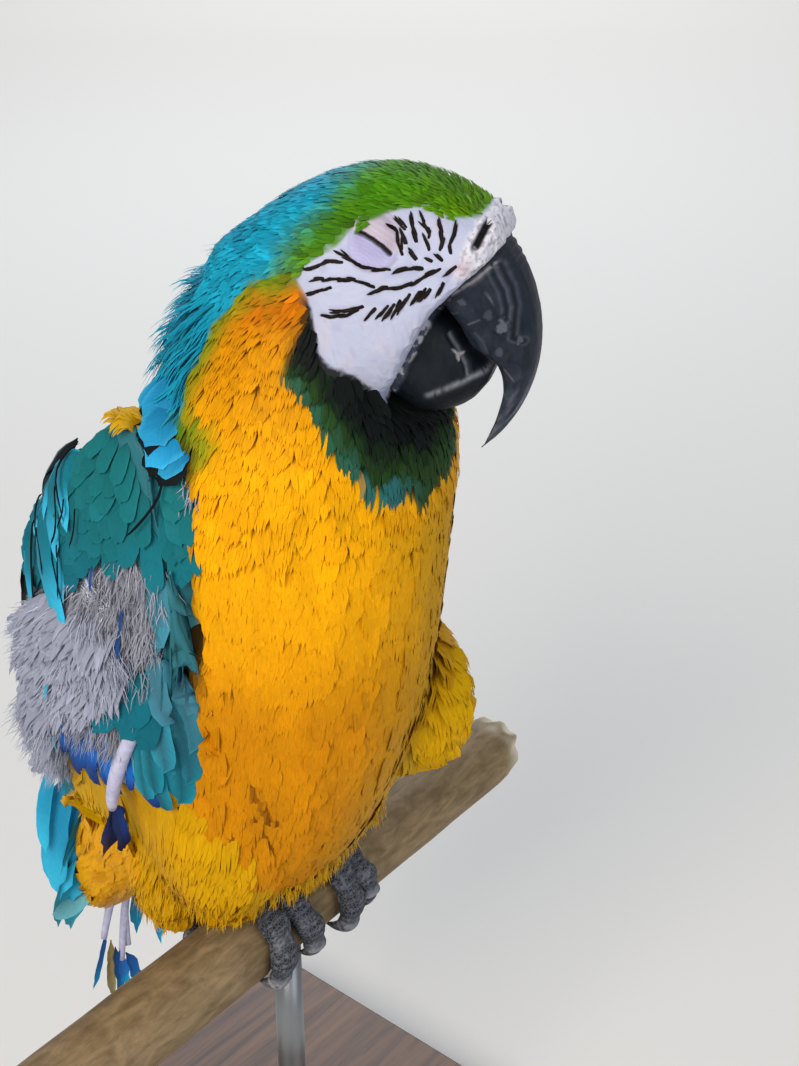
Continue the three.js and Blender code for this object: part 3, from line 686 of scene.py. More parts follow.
def plumage(points, part):
    """The colour of the plumage at points, given the flesh node that each lies on."""
    points = np.asarray(points, float)
    wander = grain(points, 11, 1) * 2.2 + grain(points, 4, 2) * 0.8
    forward, up, across = neck_view(points).T
    side = np.abs(across)
    ahead, above, _ = head_view(points).T
    colour = blend(breast_gold, belly_orange, smooth(190, 120, up + wander))
    colour = blend(colour, neck_orange, smooth(228, 262, up + wander))
    colour = blend(colour, ear_orange, smooth(266, 284, up + wander))
    # the bird's left side takes a darker lemon: partly its own lemon hue, partly painted shade away from the
    # key light
    lemon_and_shade_share = smooth(-28, 18, points[:, 0] + 2 * wander) * smooth(225, 195, up)
    colour = blend(colour, lemon_and_shade_side, 0.75 * lemon_and_shade_share)
    clumps = grain(points * (1, 1, 0.22), 4.5, 5) + 0.6 * grain(points * (1, 1, 0.3), 11, 6)
    colour = colour * (1 + 0.09 * clumps)[:, None]
    # painted shade in the partings of the belly's fluff
    for line, half in belly_parting_shades:
        away = np.min([np.linalg.norm(points - spot, axis=1) for spot in line], axis=0)
        parting_shade = smooth(half, half * 0.4, away) * np.isin(part, [trunk_part, right_thigh])
        colour = blend(colour, parting_shade_brown, 0.8 * parting_shade)
    flank = smooth(10, 34, points[:, 1] + wander) * smooth(115, 85, up)
    colour = blend(colour, flank_yellow, np.maximum(flank, np.isin(part, thighs) * 0.8))
    # the rump is painted the breast's brighter gold: painted light where it lies in shade
    colour = blend(colour, breast_gold, (part == rump_part) * 0.8)

    edge = np.interp(up, *nape_edge.T) - 1.2 * wander
    blue = smooth(1.0, -1.0, forward - edge)
    rim = smooth(9.5, 0, forward - edge) * smooth(224, 238, up)
    colour = blend(colour, nape_rim_green, rim * 0.8)
    mantle = blend(nape_cyan, back_blue, smooth(215, 180, up))
    colour = blend(colour, mantle, blue * ~np.isin(part, [rump_part, *thighs]))

    crown = smooth(-12, 4, ahead - 0.78 * (above - 305) + wander)
    over_face = smooth(286, 297, above + 0.35 * (ahead + 3) + 0.6 * wander)
    green = blend(crown_green, forehead_green, smooth(20, 45, ahead))
    colour = blend(colour, blend(nape_cyan, green, crown), over_face)
    low_green = smooth(9, 1, np.abs(above - 0.62 * (ahead + 3) - 293.5))
    low_green = low_green * smooth(-26, -8, ahead) * (above > 280)
    colour = blend(colour, nape_rim_green, low_green * 0.7)

    from_edge = (up - np.interp(side, *bib_edge.T)) + 0.8 * wander
    bib = smooth(-0.5, 0.5, from_edge + 2.5) * smooth(bib_back - 2, bib_back + 2, forward + 0.5 * wander)
    bib *= smooth(288, 282, above) * (up < 300)
    dark = blend(bib_green, bib_black, smooth(5, 20, from_edge + 2.5 * grain(points, 6, 4)))
    dark = blend(dark, bib_teal, smooth(7, 2, from_edge) * smooth(13, 20, side) * 0.9)
    dark = blend(dark, "#2c6f74", smooth(9, 4, from_edge) * bump(points[:, 0] + 14, 9) * 0.8)
    colour = blend(colour, dark, bib)
    cheek_rim = smooth(-4.2, -2.6, bareness(points)) * smooth(265, 269, above) * smooth(287, 284, above)
    colour = blend(colour, bib_black, cheek_rim * (ahead < 12))

    olive = np.linalg.norm(np.column_stack([side - 47, points[:, 1] + 13, up - 232]) / (9, 13, 9), axis=1)
    olive = smooth(1.3, 0.5, olive + 0.12 * wander) * np.isin(part, [neck_part, trunk_part])
    colour = blend(colour, nape_rim_green, 0.75 * olive)

    rump_top = smooth(-0.55, 0.1, (points[:, 1] - 60) / 40 + (points[:, 2] - 30) / 60)
    colour = blend(colour, back_blue, rump_top * (part == rump_part) * smooth(24, 16, np.abs(points[:, 0])))
    moulting = (part == right_wing) & (points[:, 2] < np.interp(points[:, 1], *moult_edge.T))
    # painted shade: neck and trunk in the groove under the front edge of each wing are painted dark brown
    groove_shade = smooth(-20, -13, points[:, 1]) * (side > 38) * smooth(128, 150, up) * smooth(238, 230, up)
    groove_shade *= np.isin(part, [neck_part, trunk_part])
    colour = blend(colour, "#2b1c06", groove_shade)
    colour = np.where(np.isin(part, wings)[:, None], covert_teal, colour)
    # painted shade: the wings' flesh beside the body and in front is painted near black
    wing_inner_shade = np.isin(part, wings) & (side < 50) & (points[:, 1] < 20)
    colour = np.where(wing_inner_shade[:, None], painted("#081214"), colour)
    colour = np.where(((part == left_wing) & (points[:, 2] < 130))[:, None], wing_blue, colour)
    colour = np.where((moulting & (points[:, 0] < -50) & (points[:, 1] > -4))[:, None], down_grey, colour)
    under = (part == right_wing) & (points[:, 2] < np.interp(points[:, 1], *moult_foot.T))
    colour = np.where(under[:, None], flank_yellow, colour)
    return np.clip(colour, 0, 1)


# Skin: soft, matt, faintly translucent; pale and finely creased on the face, dull under the plumage.
hide, tree = new_material("hide")
tint = add_node(tree, "ShaderNodeAttribute", {"attribute_name": "tint"}).outputs["Color"]
place = add_node(tree, "ShaderNodeTexCoord").outputs["Object"]
creases = add_node(tree, "ShaderNodeTexNoise", inputs={
    "Vector": place, "Scale": 900.0, "Detail": 3.0, "Roughness": 0.6})
relief = add_node(tree, "ShaderNodeBump", inputs={
    "Strength": 0.4, "Distance": 0.0003, "Height": creases.outputs["Fac"]})
finished(hide, add_node(tree, "ShaderNodeBsdfPrincipled", inputs={
    "Base Color": tint, "Roughness": 0.6, "Subsurface Weight": 0.1, "Subsurface Radius": (1.0, 0.5, 0.4),
    "Subsurface Scale": 0.001, "Specular IOR Level": 0.4, "Normal": relief.outputs[0]}))
skin.data.materials[0] = hide

skin_faces = [list(face.vertices) for face in skin.data.polygons]
skin_points = mesh_points(skin.data)
skin_hull = BVHTree.FromPolygons(skin_points.tolist(), skin_faces)
skin_normals = np.zeros(len(skin_points) * 3)
skin.data.vertices.foreach_get("normal", skin_normals)
skin_normals = skin_normals.reshape(-1, 3)
skin_part = np.zeros(len(skin_points), np.int32)
skin.data.attributes["part"].data.foreach_get("value", skin_part)
skin_coat = np.zeros(len(skin_points), np.float32)
skin.data.attributes["coat"].data.foreach_get("value", skin_coat)
corner_of_face = np.array([face[:4] if len(face) > 3 else face + face[-1:] for face in skin_faces])
face_part = skin_part[corner_of_face[:, 0]]
face_coat = skin_coat[corner_of_face].mean(1)
# the skin under the plumage is painted a little darker, as shade in the gaps between feathers
skin_paint = plumage(skin_points, skin_part) * 0.95
skin_paint = blend(skin_paint, face_paint(skin_points), smooth(-0.9, 0.2, bareness(skin_points)))
mark(skin, "tint", skin_paint)
seat(skin, "face_skin", "head", "cere", "neck", "trunk", "rump", "thigh_right", "thigh_left", "wing_right",
     "wing_left")
face_normal = skin_normals[corner_of_face].mean(1)
face_normal /= np.linalg.norm(face_normal, axis=1)[:, None]

# ---------------------------------------------------------------------------------------------
# Body plumage: contour feathers, each a rachis with a fan of soft barb locks. They are rooted over
# the skin, lie along it from the bill backwards and down, and overlap as shingles do.


def unit(vectors):
    return vectors / np.maximum(np.linalg.norm(vectors, axis=-1, keepdims=True), 1e-9)


def on_skin(points):
    """The nearest places on the skin, its outward direction there, and the faces."""
    found = [skin_hull.find_nearest(p) for p in points.tolist()]
    face = np.array([hit[2] for hit in found])
    return np.array([hit[0] for hit in found]), face_normal[face], face


# Directions of the lie: the head's feathers run back from this spot over the bill's base
lore_spot = from_head(55, 297, 0)
wing_top_y, wing_top_z = 0.0, 268.0


def lie(points, outward, part):
    """Which way feathers point: from the bill, down neck and breast, along wings, thighs and rump."""
    from_bill = unit(points - lore_spot)
    low = smooth(302, 258, points[:, 2])[:, None]
    way = from_bill * (1 - low) + np.array([0, 0.12, -1.0]) * low
    on_wing = np.isin(part, wings)
    from_shoulder = points - np.array([0, wing_top_y, wing_top_z])
    from_shoulder[:, 0] = 0
    way = np.where(on_wing[:, None], unit(from_shoulder), way)
    tailward = smooth(25, 75, points[:, 1])[:, None] * smooth(120, 80, points[:, 2])[:, None]
    way = way * (1 - tailward) + np.array([0, 0.5, -0.86]) * tailward
    spread = np.isin(part, thighs)[:, None] * np.sign(points[:, :1]) * np.array([0.3, 0, 0])
    way = way + spread
    way -= (way * outward).sum(1)[:, None] * outward
    return unit(way)


def scattered(chooser, spacing, seed):
    """Evenly strewn roots over the faces that chooser picks: places, normals and parts."""
    middle = skin_points[corner_of_face].mean(1)
    picked = np.flatnonzero(chooser(middle, face_part))
    a, b, c, d = (skin_points[corner_of_face[picked, i]] for i in range(4))
    halves = np.cross(b - a, c - a), np.cross(c - a, d - a)
    area = (np.linalg.norm(halves[0], axis=1) + np.linalg.norm(halves[1], axis=1)) / 2
    draw = np.random.default_rng(seed)
    gap = spacing(middle[picked]) if callable(spacing) else np.full(len(picked), float(spacing))
    weight = area / gap ** 2
    count = int(weight.sum() * 4.5)
    chosen = draw.choice(len(picked), count, p=weight / weight.sum())
    u, v = draw.random((2, count, 1))
    places = (a[chosen] * (1 - u) + b[chosen] * u) * (1 - v) + (d[chosen] * (1 - u) + c[chosen] * u) * v
    tree = KDTree(count)
    for index, place in enumerate(places.tolist()):
        tree.insert(place, index)
    tree.balance()
    free = np.ones(count, bool)
    kept = []
    near = gap[chosen]
    for index, place in enumerate(places.tolist()):
        if free[index]:
            kept.append(index)
            for _, other, _ in tree.find_range(place, near[index]):
                free[other] = False
    return places[kept], face_normal[picked[chosen[kept]]], face_part[picked[chosen[kept]]]


# A lock of barbs is a closed three-sided blade: rings at these shares of its length, and a tip
lock_shares = np.array([0, 0.3, 0.6, 0.85, 1.0])
lock_breadth = np.array([0.55, 1.0, 0.9, 0.5])
lock_tops = np.array([[i, i + 2, i + 5, i + 3] for i in (0, 3, 6)]
                     + [[i + 2, i + 1, i + 4, i + 5] for i in (0, 3, 6)])
lock_tips = np.array([[9, 11, 12], [11, 10, 12]])
lock_unders = np.array([[i + 1, i, i + 3, i + 4] for i in (0, 3, 6)])
lock_ends = np.array([[0, 1, 2], [10, 9, 12]])
lock_points = 13
bake_patch = 0.003        # how wide each tuft's patch is on the bake map


def blades_of(centre, up, sideways, half):
    """Closed three-sided blades from five middle points each, with the first four half widths.

    Gives their points, and the way each point faces.
    """
    left = centre[:, :4] - sideways[:, :4] * half[..., None]
    right = centre[:, :4] + sideways[:, :4] * half[..., None]
    ridge = centre[:, :4] + up[:, :4] * (0.03 * half + 0.02)[..., None]
    rings = np.stack([left, right, ridge], axis=2).reshape(len(centre), 12, 3)
    flat = unit(np.cross(sideways, np.gradient(centre, axis=1)))
    flat = unit(flat + 1.4 * up * ((flat * up).sum(-1, keepdims=True) > 0))
    facing = np.concatenate([np.repeat(flat[:, :4], 3, axis=1), flat[:, 4:]], axis=1)
    return np.concatenate([rings, centre[:, 4:]], axis=1), facing


def plumes(roots, length, width, locks, lift=1.0, fray=0.12, rough=0.1, overlap=0.75, crest=1.15, seed=1):
    """Contour feathers laid over the skin from their roots, as locks.

    Lift is their greatest height in coat depths, rough how much it varies, fray how far the locks
    stray from even order, and crest the share of their length at which the feathers are highest.
    """
    places, outward, part = roots
    draw = np.random.default_rng(seed)
    count = len(places)
    length = np.broadcast_to(length, count) * draw.uniform(0.85, 1.15, count)
    width = np.broadcast_to(width, count) * draw.uniform(0.85, 1.15, count)
    uneven = 1 + rough * draw.uniform(-1, 1.4, count) + 0.2 * grain(places, 22, seed)
    lift = np.broadcast_to(lift, count) * uneven
    sway = draw.normal(0, fray * 1.2, (count, 1))
    path, normals, heading = [places], [outward], []
    for step in np.diff(lock_shares):
        way = lie(path[-1], normals[-1], part)
        way = unit(way + np.cross(way, normals[-1]) * sway)
        heading.append(way)
        ahead, normal, face = on_skin(path[-1] + way * (step * length)[:, None])
        path.append(ahead)
        normals.append(unit(normal + 1.5 * normals[-1]))
    heading.append(heading[-1])
    cover = np.maximum(face_coat[face], 0.7) * lift
    path, normals, heading = (np.stack(rows, axis=1) for rows in (path, normals, heading))
    # a feather whose path jumps over a groove of the body is left out
    pace = np.linalg.norm(np.diff(path, axis=1), axis=2) / (length[:, None] * np.diff(lock_shares))
    bend = (heading[:, 1:] * heading[:, :-1]).sum(2)
    even = ((pace > 0.45) & (pace < 1.5)).all(1) & (bend > 0.5).all(1)
    even &= (normals[:, 0] * normals[:, -1]).sum(1) > 0
    even &= (part > rump_part) | (face_part[face] < right_wing) | (path[:, -1, 2] < 100)
    rise = 1 - ((lock_shares - crest) / crest) ** 2
    height = rise * cover[:, None] - 0.7 * (1 - lock_shares) ** 2
    rows = (rows[even] for rows in (path, normals, heading, height, width, length, cover, part))
    return locks_along(*rows, locks, fray, rough, overlap, draw)


def locks_along(path, normals, heading, height, width, length, cover, part,
                locks, fray, rough, overlap, draw):
    """Splits feathers that follow paths, at heights over them, into locks side by side."""
    count = len(path)
    side = unit(np.cross(heading, normals))
    across = np.linspace(-1, 1, locks) if locks > 1 else np.zeros(1)
    across = across + draw.uniform(-0.8, 0.8, (count, locks)) / locks
    short = 1 - 0.16 * across ** 2 - draw.uniform(0, 0.22, (count, locks))
    spread = np.interp(lock_shares, [0, 0.35, 0.7, 1], [0.3, 0.8, 1.0, 0.8])
    stray = draw.normal(0, fray, (count, locks, 1)) * lock_shares ** 2
    offset = (across[..., None] * spread + stray) * (width / 2)[:, None, None]
    bumps = rough * (draw.uniform(-1, 1, (count, locks, 1)) * lock_shares - across[..., None] ** 2)
    height = bumps * cover[:, None, None] + height[:, None, :]
    # a shorter lock stops part of the way along the same path
    shares = lock_shares * short[..., None]
    index = np.clip(np.searchsorted(lock_shares, shares, side="right") - 1, 0, 3)
    part_way = (shares - lock_shares[index]) / np.diff(lock_shares)[index]
    row = np.arange(count)[:, None, None]
    centre = path[row, index] * (1 - part_way[..., None]) + path[row, index + 1] * part_way[..., None]
    up, sideways = normals[row, index], side[row, index]
    centre = centre + up * height[..., None] + sideways * offset[..., None]
    half = (width / locks * overlap)[:, None, None] * draw.uniform(0.75, 1.25, (count, locks, 1))
    half = half * lock_breadth
    centre, up, sideways = (rows.reshape(-1, 5, 3) for rows in (centre, up, sideways))
    half = half.reshape(-1, 4)
    return {"points": blades_of(centre, up, sideways, half), "root": np.repeat(path[:, 0], locks, axis=0),
            "feather": np.repeat(np.arange(count), locks), "heart": centre[:, 3],
            "part": np.repeat(part, locks), "half": half,
            "length": np.repeat(length, locks) * short.ravel()}


def split_quads(corners, blades, facing, high):
    """The quads of every blade as triangles, cut along the diagonal that lies higher, or lower."""
    a, b, c, d = (blades[:, corners[:, i]] for i in range(4))
    first_higher = ((a + c - b - d) * facing[:, corners[:, 0]]).sum(-1) > 0
    first = (first_higher == high)[..., None]
    one = np.where(first, corners[:, [0, 1, 2]], corners[:, [1, 2, 3]])
    two = np.where(first, corners[:, [0, 2, 3]], corners[:, [1, 3, 0]])
    return np.concatenate([one, two], axis=1) + (np.arange(len(blades)) * lock_points)[:, None, None]


def lay_maps(piece, face_groups, bake, barbs):
    """Gives the corners of a piece's faces their places on its two UV maps, from those of its points."""
    corners = np.concatenate([group.ravel() for group in face_groups])
    for title, values in (("OFBake", bake), ("barbs", barbs)):
        layer = piece.data.uv_layers.new(name=title)
        layer.data.foreach_set("uv", values.reshape(-1, 2)[corners].astype(np.float32).ravel())


def lock_mesh(name, plume, colours, material, slot, *replaced):
    """Joins locks into one mesh piece, with colours, barb coordinates and a bake patch for each lock."""
    blades, facing = plume["points"]
    count = len(blades)
    start = (np.arange(count) * lock_points)[:, None, None]
    groups = [split_quads(lock_tops, blades, facing, True), lock_tips + start,
              split_quads(lock_unders, blades, facing, False), lock_ends + start]
    groups = [group.reshape(-1, 3) for group in groups]
    piece = build_mesh(name, blades.reshape(-1, 3), groups, material, (2, 3), facing.reshape(-1, 3))
    share = np.append(np.repeat(lock_shares[:4], 3), 1.0)
    # painted shade: each lock is darker towards its root, where the feathers over it lie
    shade = 0.92 + 0.1 * smooth(0.1, 0.8, share)
    mark(piece, "tint", (colours[:, None] * shade[None, :, None]).reshape(-1, 3))
    across = np.append(np.tile([-1.0, 1.0, 0.0], 4), 0.0)
    half = np.column_stack([np.repeat(plume["half"], 3, axis=1), np.zeros(count)])
    draw = np.random.default_rng(count)
    shift = draw.uniform(0, 500, (count, 1))
    barbs = np.stack([across * half + shift, share * plume["length"][:, None] + shift * 0.37], axis=-1)
    place = skin_spot(plume["root"])
    patch = np.column_stack([across * 0.5, share - 0.5])
    bake = place[:, None] + bake_patch * patch
    lay_maps(piece, groups, bake, barbs)
    seat(piece, slot, *replaced)
    return piece


# Keratin barbs: a satin, fibrous surface. Fine stripes run along each lock, darker and lighter in colour
# as painted shade and light between the barbs; a soft sheen lies over it.
def barb_material(name, sheen, stretch, stripe_shade_low, stripe_light_high):
    material, tree = new_material(name)
    tint = add_node(tree, "ShaderNodeAttribute", {"attribute_name": "tint"}).outputs["Color"]
    barbs = add_node(tree, "ShaderNodeUVMap", {"uv_map": "barbs"}).outputs[0]
    drawn = add_node(tree, "ShaderNodeMapping", inputs={"Vector": barbs, "Scale": stretch})
    stripes = add_node(tree, "ShaderNodeTexNoise", inputs={
        "Vector": drawn.outputs[0], "Scale": 1.0, "Detail": 3.0, "Roughness": 0.6})
    # the stripes darken and lighten the colour: painted shade and light of the barbs
    depth = add_node(tree, "ShaderNodeMapRange", inputs={
        "Value": stripes.outputs["Fac"], "From Min": 0.3, "From Max": 0.7,
        "To Min": stripe_shade_low, "To Max": stripe_light_high})
    shaded = add_node(tree, "ShaderNodeVectorMath", {"operation": "SCALE"}, {
        0: tint, "Scale": depth.outputs[0]})
    relief = add_node(tree, "ShaderNodeBump", inputs={
        "Strength": 0.4, "Distance": 0.00004, "Height": stripes.outputs["Fac"]})
    shader = add_node(tree, "ShaderNodeBsdfPrincipled", inputs={
        "Base Color": shaded.outputs[0], "Roughness": 0.6, "Normal": relief.outputs[0],
        "Sheen Weight": sheen, "Sheen Roughness": 0.4, "Specular IOR Level": 0.08})
    return finished(material, shader)


feather_barbs = barb_material("feather_barbs", 0.02, (3.2, 0.22, 1), 0.8, 1.14)
vane_barbs = barb_material("vane_barbs", 0.02, (3.0, 0.14, 1), 0.84, 1.12)


def unwrapped(piece):
    """Unfolds the skin by its own shape into the map that every tuft's bake patch lies on."""
    piece.data.uv_layers.new(name="OFBake")
    bpy.context.view_layer.objects.active = piece
    piece.select_set(True)
    bpy.ops.object.mode_set(mode="EDIT")
    bpy.ops.mesh.select_all(action="SELECT")
    bpy.ops.uv.smart_project(angle_limit=np.radians(70), island_margin=0.002)
    bpy.ops.object.mode_set(mode="OBJECT")
    piece.select_set(False)
    uvs = np.zeros(len(piece.data.loops) * 2, np.float32)
    piece.data.uv_layers["OFBake"].data.foreach_get("uv", uvs)
    starts = np.array([face.loop_start for face in piece.data.polygons])
    return uvs.reshape(-1, 2)[starts]


skin_map = unwrapped(skin)


def skin_spot(roots):
    """Where roots lie on the skin's map."""
    return skin_map[on_skin(roots)[2]]


def tinted(plume, spread, seed):
    """The plumage colour of each lock, varied a little from feather to feather and lock to lock."""
    draw = np.random.default_rng(seed)
    colours = plumage(plume["heart"], plume["part"])
    feather = draw.normal(0, spread, plume["feather"].max() + 1)[plume["feather"]]
    lock = draw.normal(0, spread * 0.6, len(colours))
    warm = draw.normal(0, spread * 0.4, plume["feather"].max() + 1)[plume["feather"]]
    colours = colours * np.exp(feather + lock)[:, None] * np.exp(warm[:, None] * np.array([-0.4, 0.6, 0.3]))
    return np.clip(colours, 0, 1)


def covered(middle):
    return bareness(middle) < -0.3


# Height above the dowel: distance between roots, then length and width of the feathers there
feather_sizes = np.array([
    [-20, 5.2, 27, 10.5], [120, 4.8, 26, 10.0], [190, 4.5, 23, 9.0], [225, 3.9, 18, 7.0], [262, 3.0, 13, 5.0],
    [290, 2.1, 9.5, 3.5], [330, 1.9, 8.5, 3.0]])


def sizes(places):
    """Spacing, length and width of feathers; smaller up the neck and smallest round the bill."""
    level, *columns = feather_sizes.T
    spacing, length, width = (np.interp(places[:, 2], level, column) for column in columns)
    near = smooth(52, 8, np.linalg.norm(places - lore_spot, axis=1)) * smooth(240, 262, places[:, 2])
    return spacing * (1 - 0.38 * near), length * (1 - 0.55 * near), width * (1 - 0.5 * near)


def coat_piece(name, slot, chooser, locks, seed, lift=1.0, fray=0.12, rough=0.1, spread=0.08, stretch=1.0,
               overlap=0.75, crest=1.15):
    """One region of plumage, from its roots to a mesh piece."""
    roots = scattered(chooser, lambda places: sizes(places)[0], seed)
    _, length, width = sizes(roots[0])
    plume = plumes(roots, length * stretch, width, locks, lift, fray, rough, overlap, crest, seed + 1)
    return lock_mesh(name, plume, tinted(plume, spread, seed + 2), feather_barbs, slot)


def behind_edge(places):
    """How far behind the edge of the blue nape a place lies."""
    forward, up, _ = neck_view(places).T
    return np.interp(up, *nape_edge.T) - forward


belly_top = 130
coat_piece("crown_feathers", "green_plumage", lambda m, part: (part < neck_part) & covered(m), 3, 21,
           fray=0.18, spread=0.16)
coat_piece("nape_feathers", "blue_plumage", lambda m, part: (part == neck_part) & (behind_edge(m) > 0), 7, 31,
           lift=1.5, fray=0.14, rough=0.4, spread=0.1, stretch=1.3)
coat_piece("throat_feathers", "yellow_plumage",
           lambda m, part: (part == neck_part) & (behind_edge(m) <= 0) & covered(m), 8, 35,
           fray=0.08, rough=0.04, spread=0.05, overlap=1.15, crest=0.85)
coat_piece("breast_feathers", "yellow_plumage",
           lambda m, part: (part == trunk_part) & (m[:, 2] > belly_top), 13, 41,
           lift=0.92, fray=0.05, rough=0.02, spread=0.02, overlap=1.4, crest=0.68)
coat_piece("belly_feathers", "yellow_plumage",
           lambda m, part: (part == trunk_part) & (m[:, 2] <= belly_top), 13, 45,
           lift=0.92, fray=0.07, rough=0.03, spread=0.025, overlap=1.4, crest=0.7)
coat_piece("thigh_feathers", "yellow_plumage", lambda m, part: np.isin(part, thighs), 11, 51,
           fray=0.1, rough=0.05, spread=0.04, overlap=1.2, crest=0.85)
coat_piece("rump_feathers", "yellow_plumage", lambda m, part: part == rump_part, 9, 55,
           fray=0.1, rough=0.05, spread=0.05, overlap=1.2, crest=0.85)


def wing_inside(middle, part):
    """The parts of the wings' flesh that no covert, flight feather or down hides."""
    x, y, z = middle.T
    hidden_front = (y < 20) & (z > 60)
    below_down = (part == right_wing) & (z < np.interp(y, *moult_foot.T))
    return (part > left_thigh) & ((np.abs(x) < 46) | below_down) & ~hidden_front


coat_piece("wing_lining", "wing_plumage", wing_inside, 9, 61, lift=0.7, spread=0.08, fray=0.08, rough=0.05,
           overlap=1.2, crest=0.85)

# ---------------------------------------------------------------------------------------------
# Lines of tiny black feathers that cross the bare face. Each line runs from the bill's side outwards,
# as forward and up in the head, and is the same on both sides.

face_lines = [
    [(26.9, 296.5), (21, 296.7), (18.4, 297), (15.9, 297.9), (12.3, 299.5), (9.1, 300.3)],
    [(36.1, 297.3), (30.9, 297.2), (28.3, 296.5), (26.1, 295.3)],
    [(12.5, 297.9), (6.9, 297.6), (2, 294.9), (-1.3, 294.4)],
    [(6.8, 292.7), (3.7, 292.2), (1.2, 291.2)],
    [(22.3, 291.2), (18.2, 292.5), (14.9, 293.2), (11.8, 293.2), (8.1, 292.6), (5.6, 291.4)],
    [(41.1, 297.6), (38.9, 296.5), (35.6, 294.6), (32.5, 292.8), (29.4, 291.5), (24.4, 291.3), (20.3, 289.3)],
    [(9.4, 290.3), (5, 288.9), (2.8, 288.1), (0.5, 287.2)],
    [(19.2, 285.6), (16.8, 284.5), (12.9, 283.3), (8.8, 282.9)],
    [(22.5, 285.4), (19.2, 281.5)], [(26.3, 286.3), (21.9, 281)], [(28, 286.9), (24.5, 281.8)],
    [(30, 288.2), (26.9, 282.5)], [(32.3, 290.1), (28.9, 284.5)], [(35.4, 291.3), (32.2, 286.0)],
    [(38.2, 292), (35, 287.7)], [(36.9, 292), (33.6, 287)], [(41.9, 293.8), (39.5, 288.7)],
    [(45.8, 298.5), (41.8, 295.3)],
    [(30.1, 307.5), (27.5, 309.5), (25.8, 310.7)],
    [(29.8, 300.3), (29.1, 301.6), (27.9, 304.8), (27, 307.5), (23.7, 309.4)],
    [(30.6, 303.3), (29.2, 305.9), (27.8, 308)],
    [(33.4, 304.1), (32.5, 306.5), (31.4, 308.6), (29.7, 311)],
    [(36.2, 305), (36.2, 307.1), (34.7, 309.1), (32.4, 311.5)],
    [(39.9, 301.8), (40.3, 305), (39.3, 308.1), (37.6, 310.5)],
    [(43.4, 301), (42.4, 303.9), (43.2, 306.3), (43, 309)],
    [(32.6, 300.9), (31.3, 302.7)], [(37.1, 301.8), (36, 304.2), (34.3, 306.6)],
    [(17.8, 284.4), (13, 282.1), (8.5, 281.2), (5.4, 281.4)],
    [(34, 299.3), (31.7, 301.7)], [(38.5, 299.1), (35.9, 300.5)], [(41.6, 299.4), (38.8, 301.5)]]


def face_strokes(pace, feather_length, half_width, seed):
    """Short feathers, two locks wide, one behind another along every line on both sides."""
    draw = np.random.default_rng(seed)
    centre, normal = [], []
    for line in np.array(face_lines, dtype=object):
        line = np.array(line, float)
        run = np.concatenate([[0], np.cumsum(np.linalg.norm(np.diff(line, axis=0), axis=1))])
        starts = np.arange(-0.2, max(run[-1] - 0.75 * feather_length, 0), pace)
        for sign in (-1, 1):
            for start in starts:
                for _ in range(2):
                    size = min(feather_length, run[-1] - start + 0.6) * draw.uniform(0.8, 1.1)
                    along = start + draw.uniform(-0.2, 0.2) + lock_shares * size
                    stray = draw.normal(0, 0.16) + draw.normal(0, 0.32) * lock_shares
                    spot = np.column_stack([np.interp(along, run, column) for column in line.T])
                    way = unit(line[-1] - line[-2])
                    spot += np.clip(along - run[-1], 0, None)[:, None] * way
                    spot += stray[:, None] * unit(np.array([-way[1], way[0]]))
                    centre.append(from_head(spot[:, 0], spot[:, 1], sign * 60.0))
                    normal.append(sign)
    centre, normal = np.array(centre), np.array(normal)
    inward = (from_head(0, 0, -1.0) - from_head(0, 0, 0))
    hits, outward = [], []
    for rows, sign in zip(centre, normal):
        found = [skin_hull.ray_cast(Vector(p), Vector(inward * sign)) for p in rows]
        hits.append([hit[0] for hit in found])
        outward.append([face_normal[hit[2]] for hit in found])
    centre, outward = np.array(hits, float), np.array(outward, float)
    heading = unit(np.gradient(centre, axis=1))
    side = unit(np.cross(heading, outward))
    centre = centre + outward * (0.75 * lock_shares - 0.12)[:, None]
    half = half_width * np.array([0.55, 1.0, 0.95, 0.6]) * draw.uniform(0.8, 1.2, (len(centre), 1))
    return {"points": blades_of(centre, outward, side, half), "root": centre[:, 0], "half": half,
            "length": np.full(len(centre), feather_length)}


strokes = face_strokes(1.5, 4.4, 0.42, 97)
ink = painted("#1a1412") * np.random.default_rng(98).uniform(0.6, 1.6, (len(strokes["root"]), 1))
lock_mesh("face_feathers", strokes, ink, feather_barbs, "face_skin")

# ---------------------------------------------------------------------------------------------
# Bill: two horn mandibles. The upper one is a deep hook with a worn, scratched culmen and a notched
# edge that closes over the lower one, which has a paler rim. Both are lofts of ovals.


def eased(table, places):
    """Rows of a table at places along its first column, by a smooth curve through its points."""
    table = np.asarray(table, float)
    key, rows = table[:, 0], table[:, 1:]
    slope = np.gradient(rows, key, axis=0)
    index = np.clip(np.searchsorted(key, places, side="right") - 1, 0, len(key) - 2)
    gap = (key[index + 1] - key[index])[:, None]
    t = ((places - key[index]) / gap[:, 0])[:, None]
    return ((2 * t ** 3 - 3 * t ** 2 + 1) * rows[index] + (t ** 3 - 2 * t ** 2 + t) * gap * slope[index]
            + (3 * t ** 2 - 2 * t ** 3) * rows[index + 1] + (t ** 3 - t ** 2) * gap * slope[index + 1])


culmen_centre, culmen_radius = np.array([15.7, 268.8]), 51.0
# Share of the way to the tip, forward and up of the cutting edge, half width
upper_table = [
    [0, 37, 281, 15.5], [0.15, 42, 275, 14.8], [0.3, 46.5, 267.5, 13.2], [0.42, 51.5, 265, 11.2],
    [0.52, 54.5, 261, 9], [0.65, 56, 254, 6.6], [0.82, 54.2, 243, 4], [1, 49.6, 230.6, 0.8]]
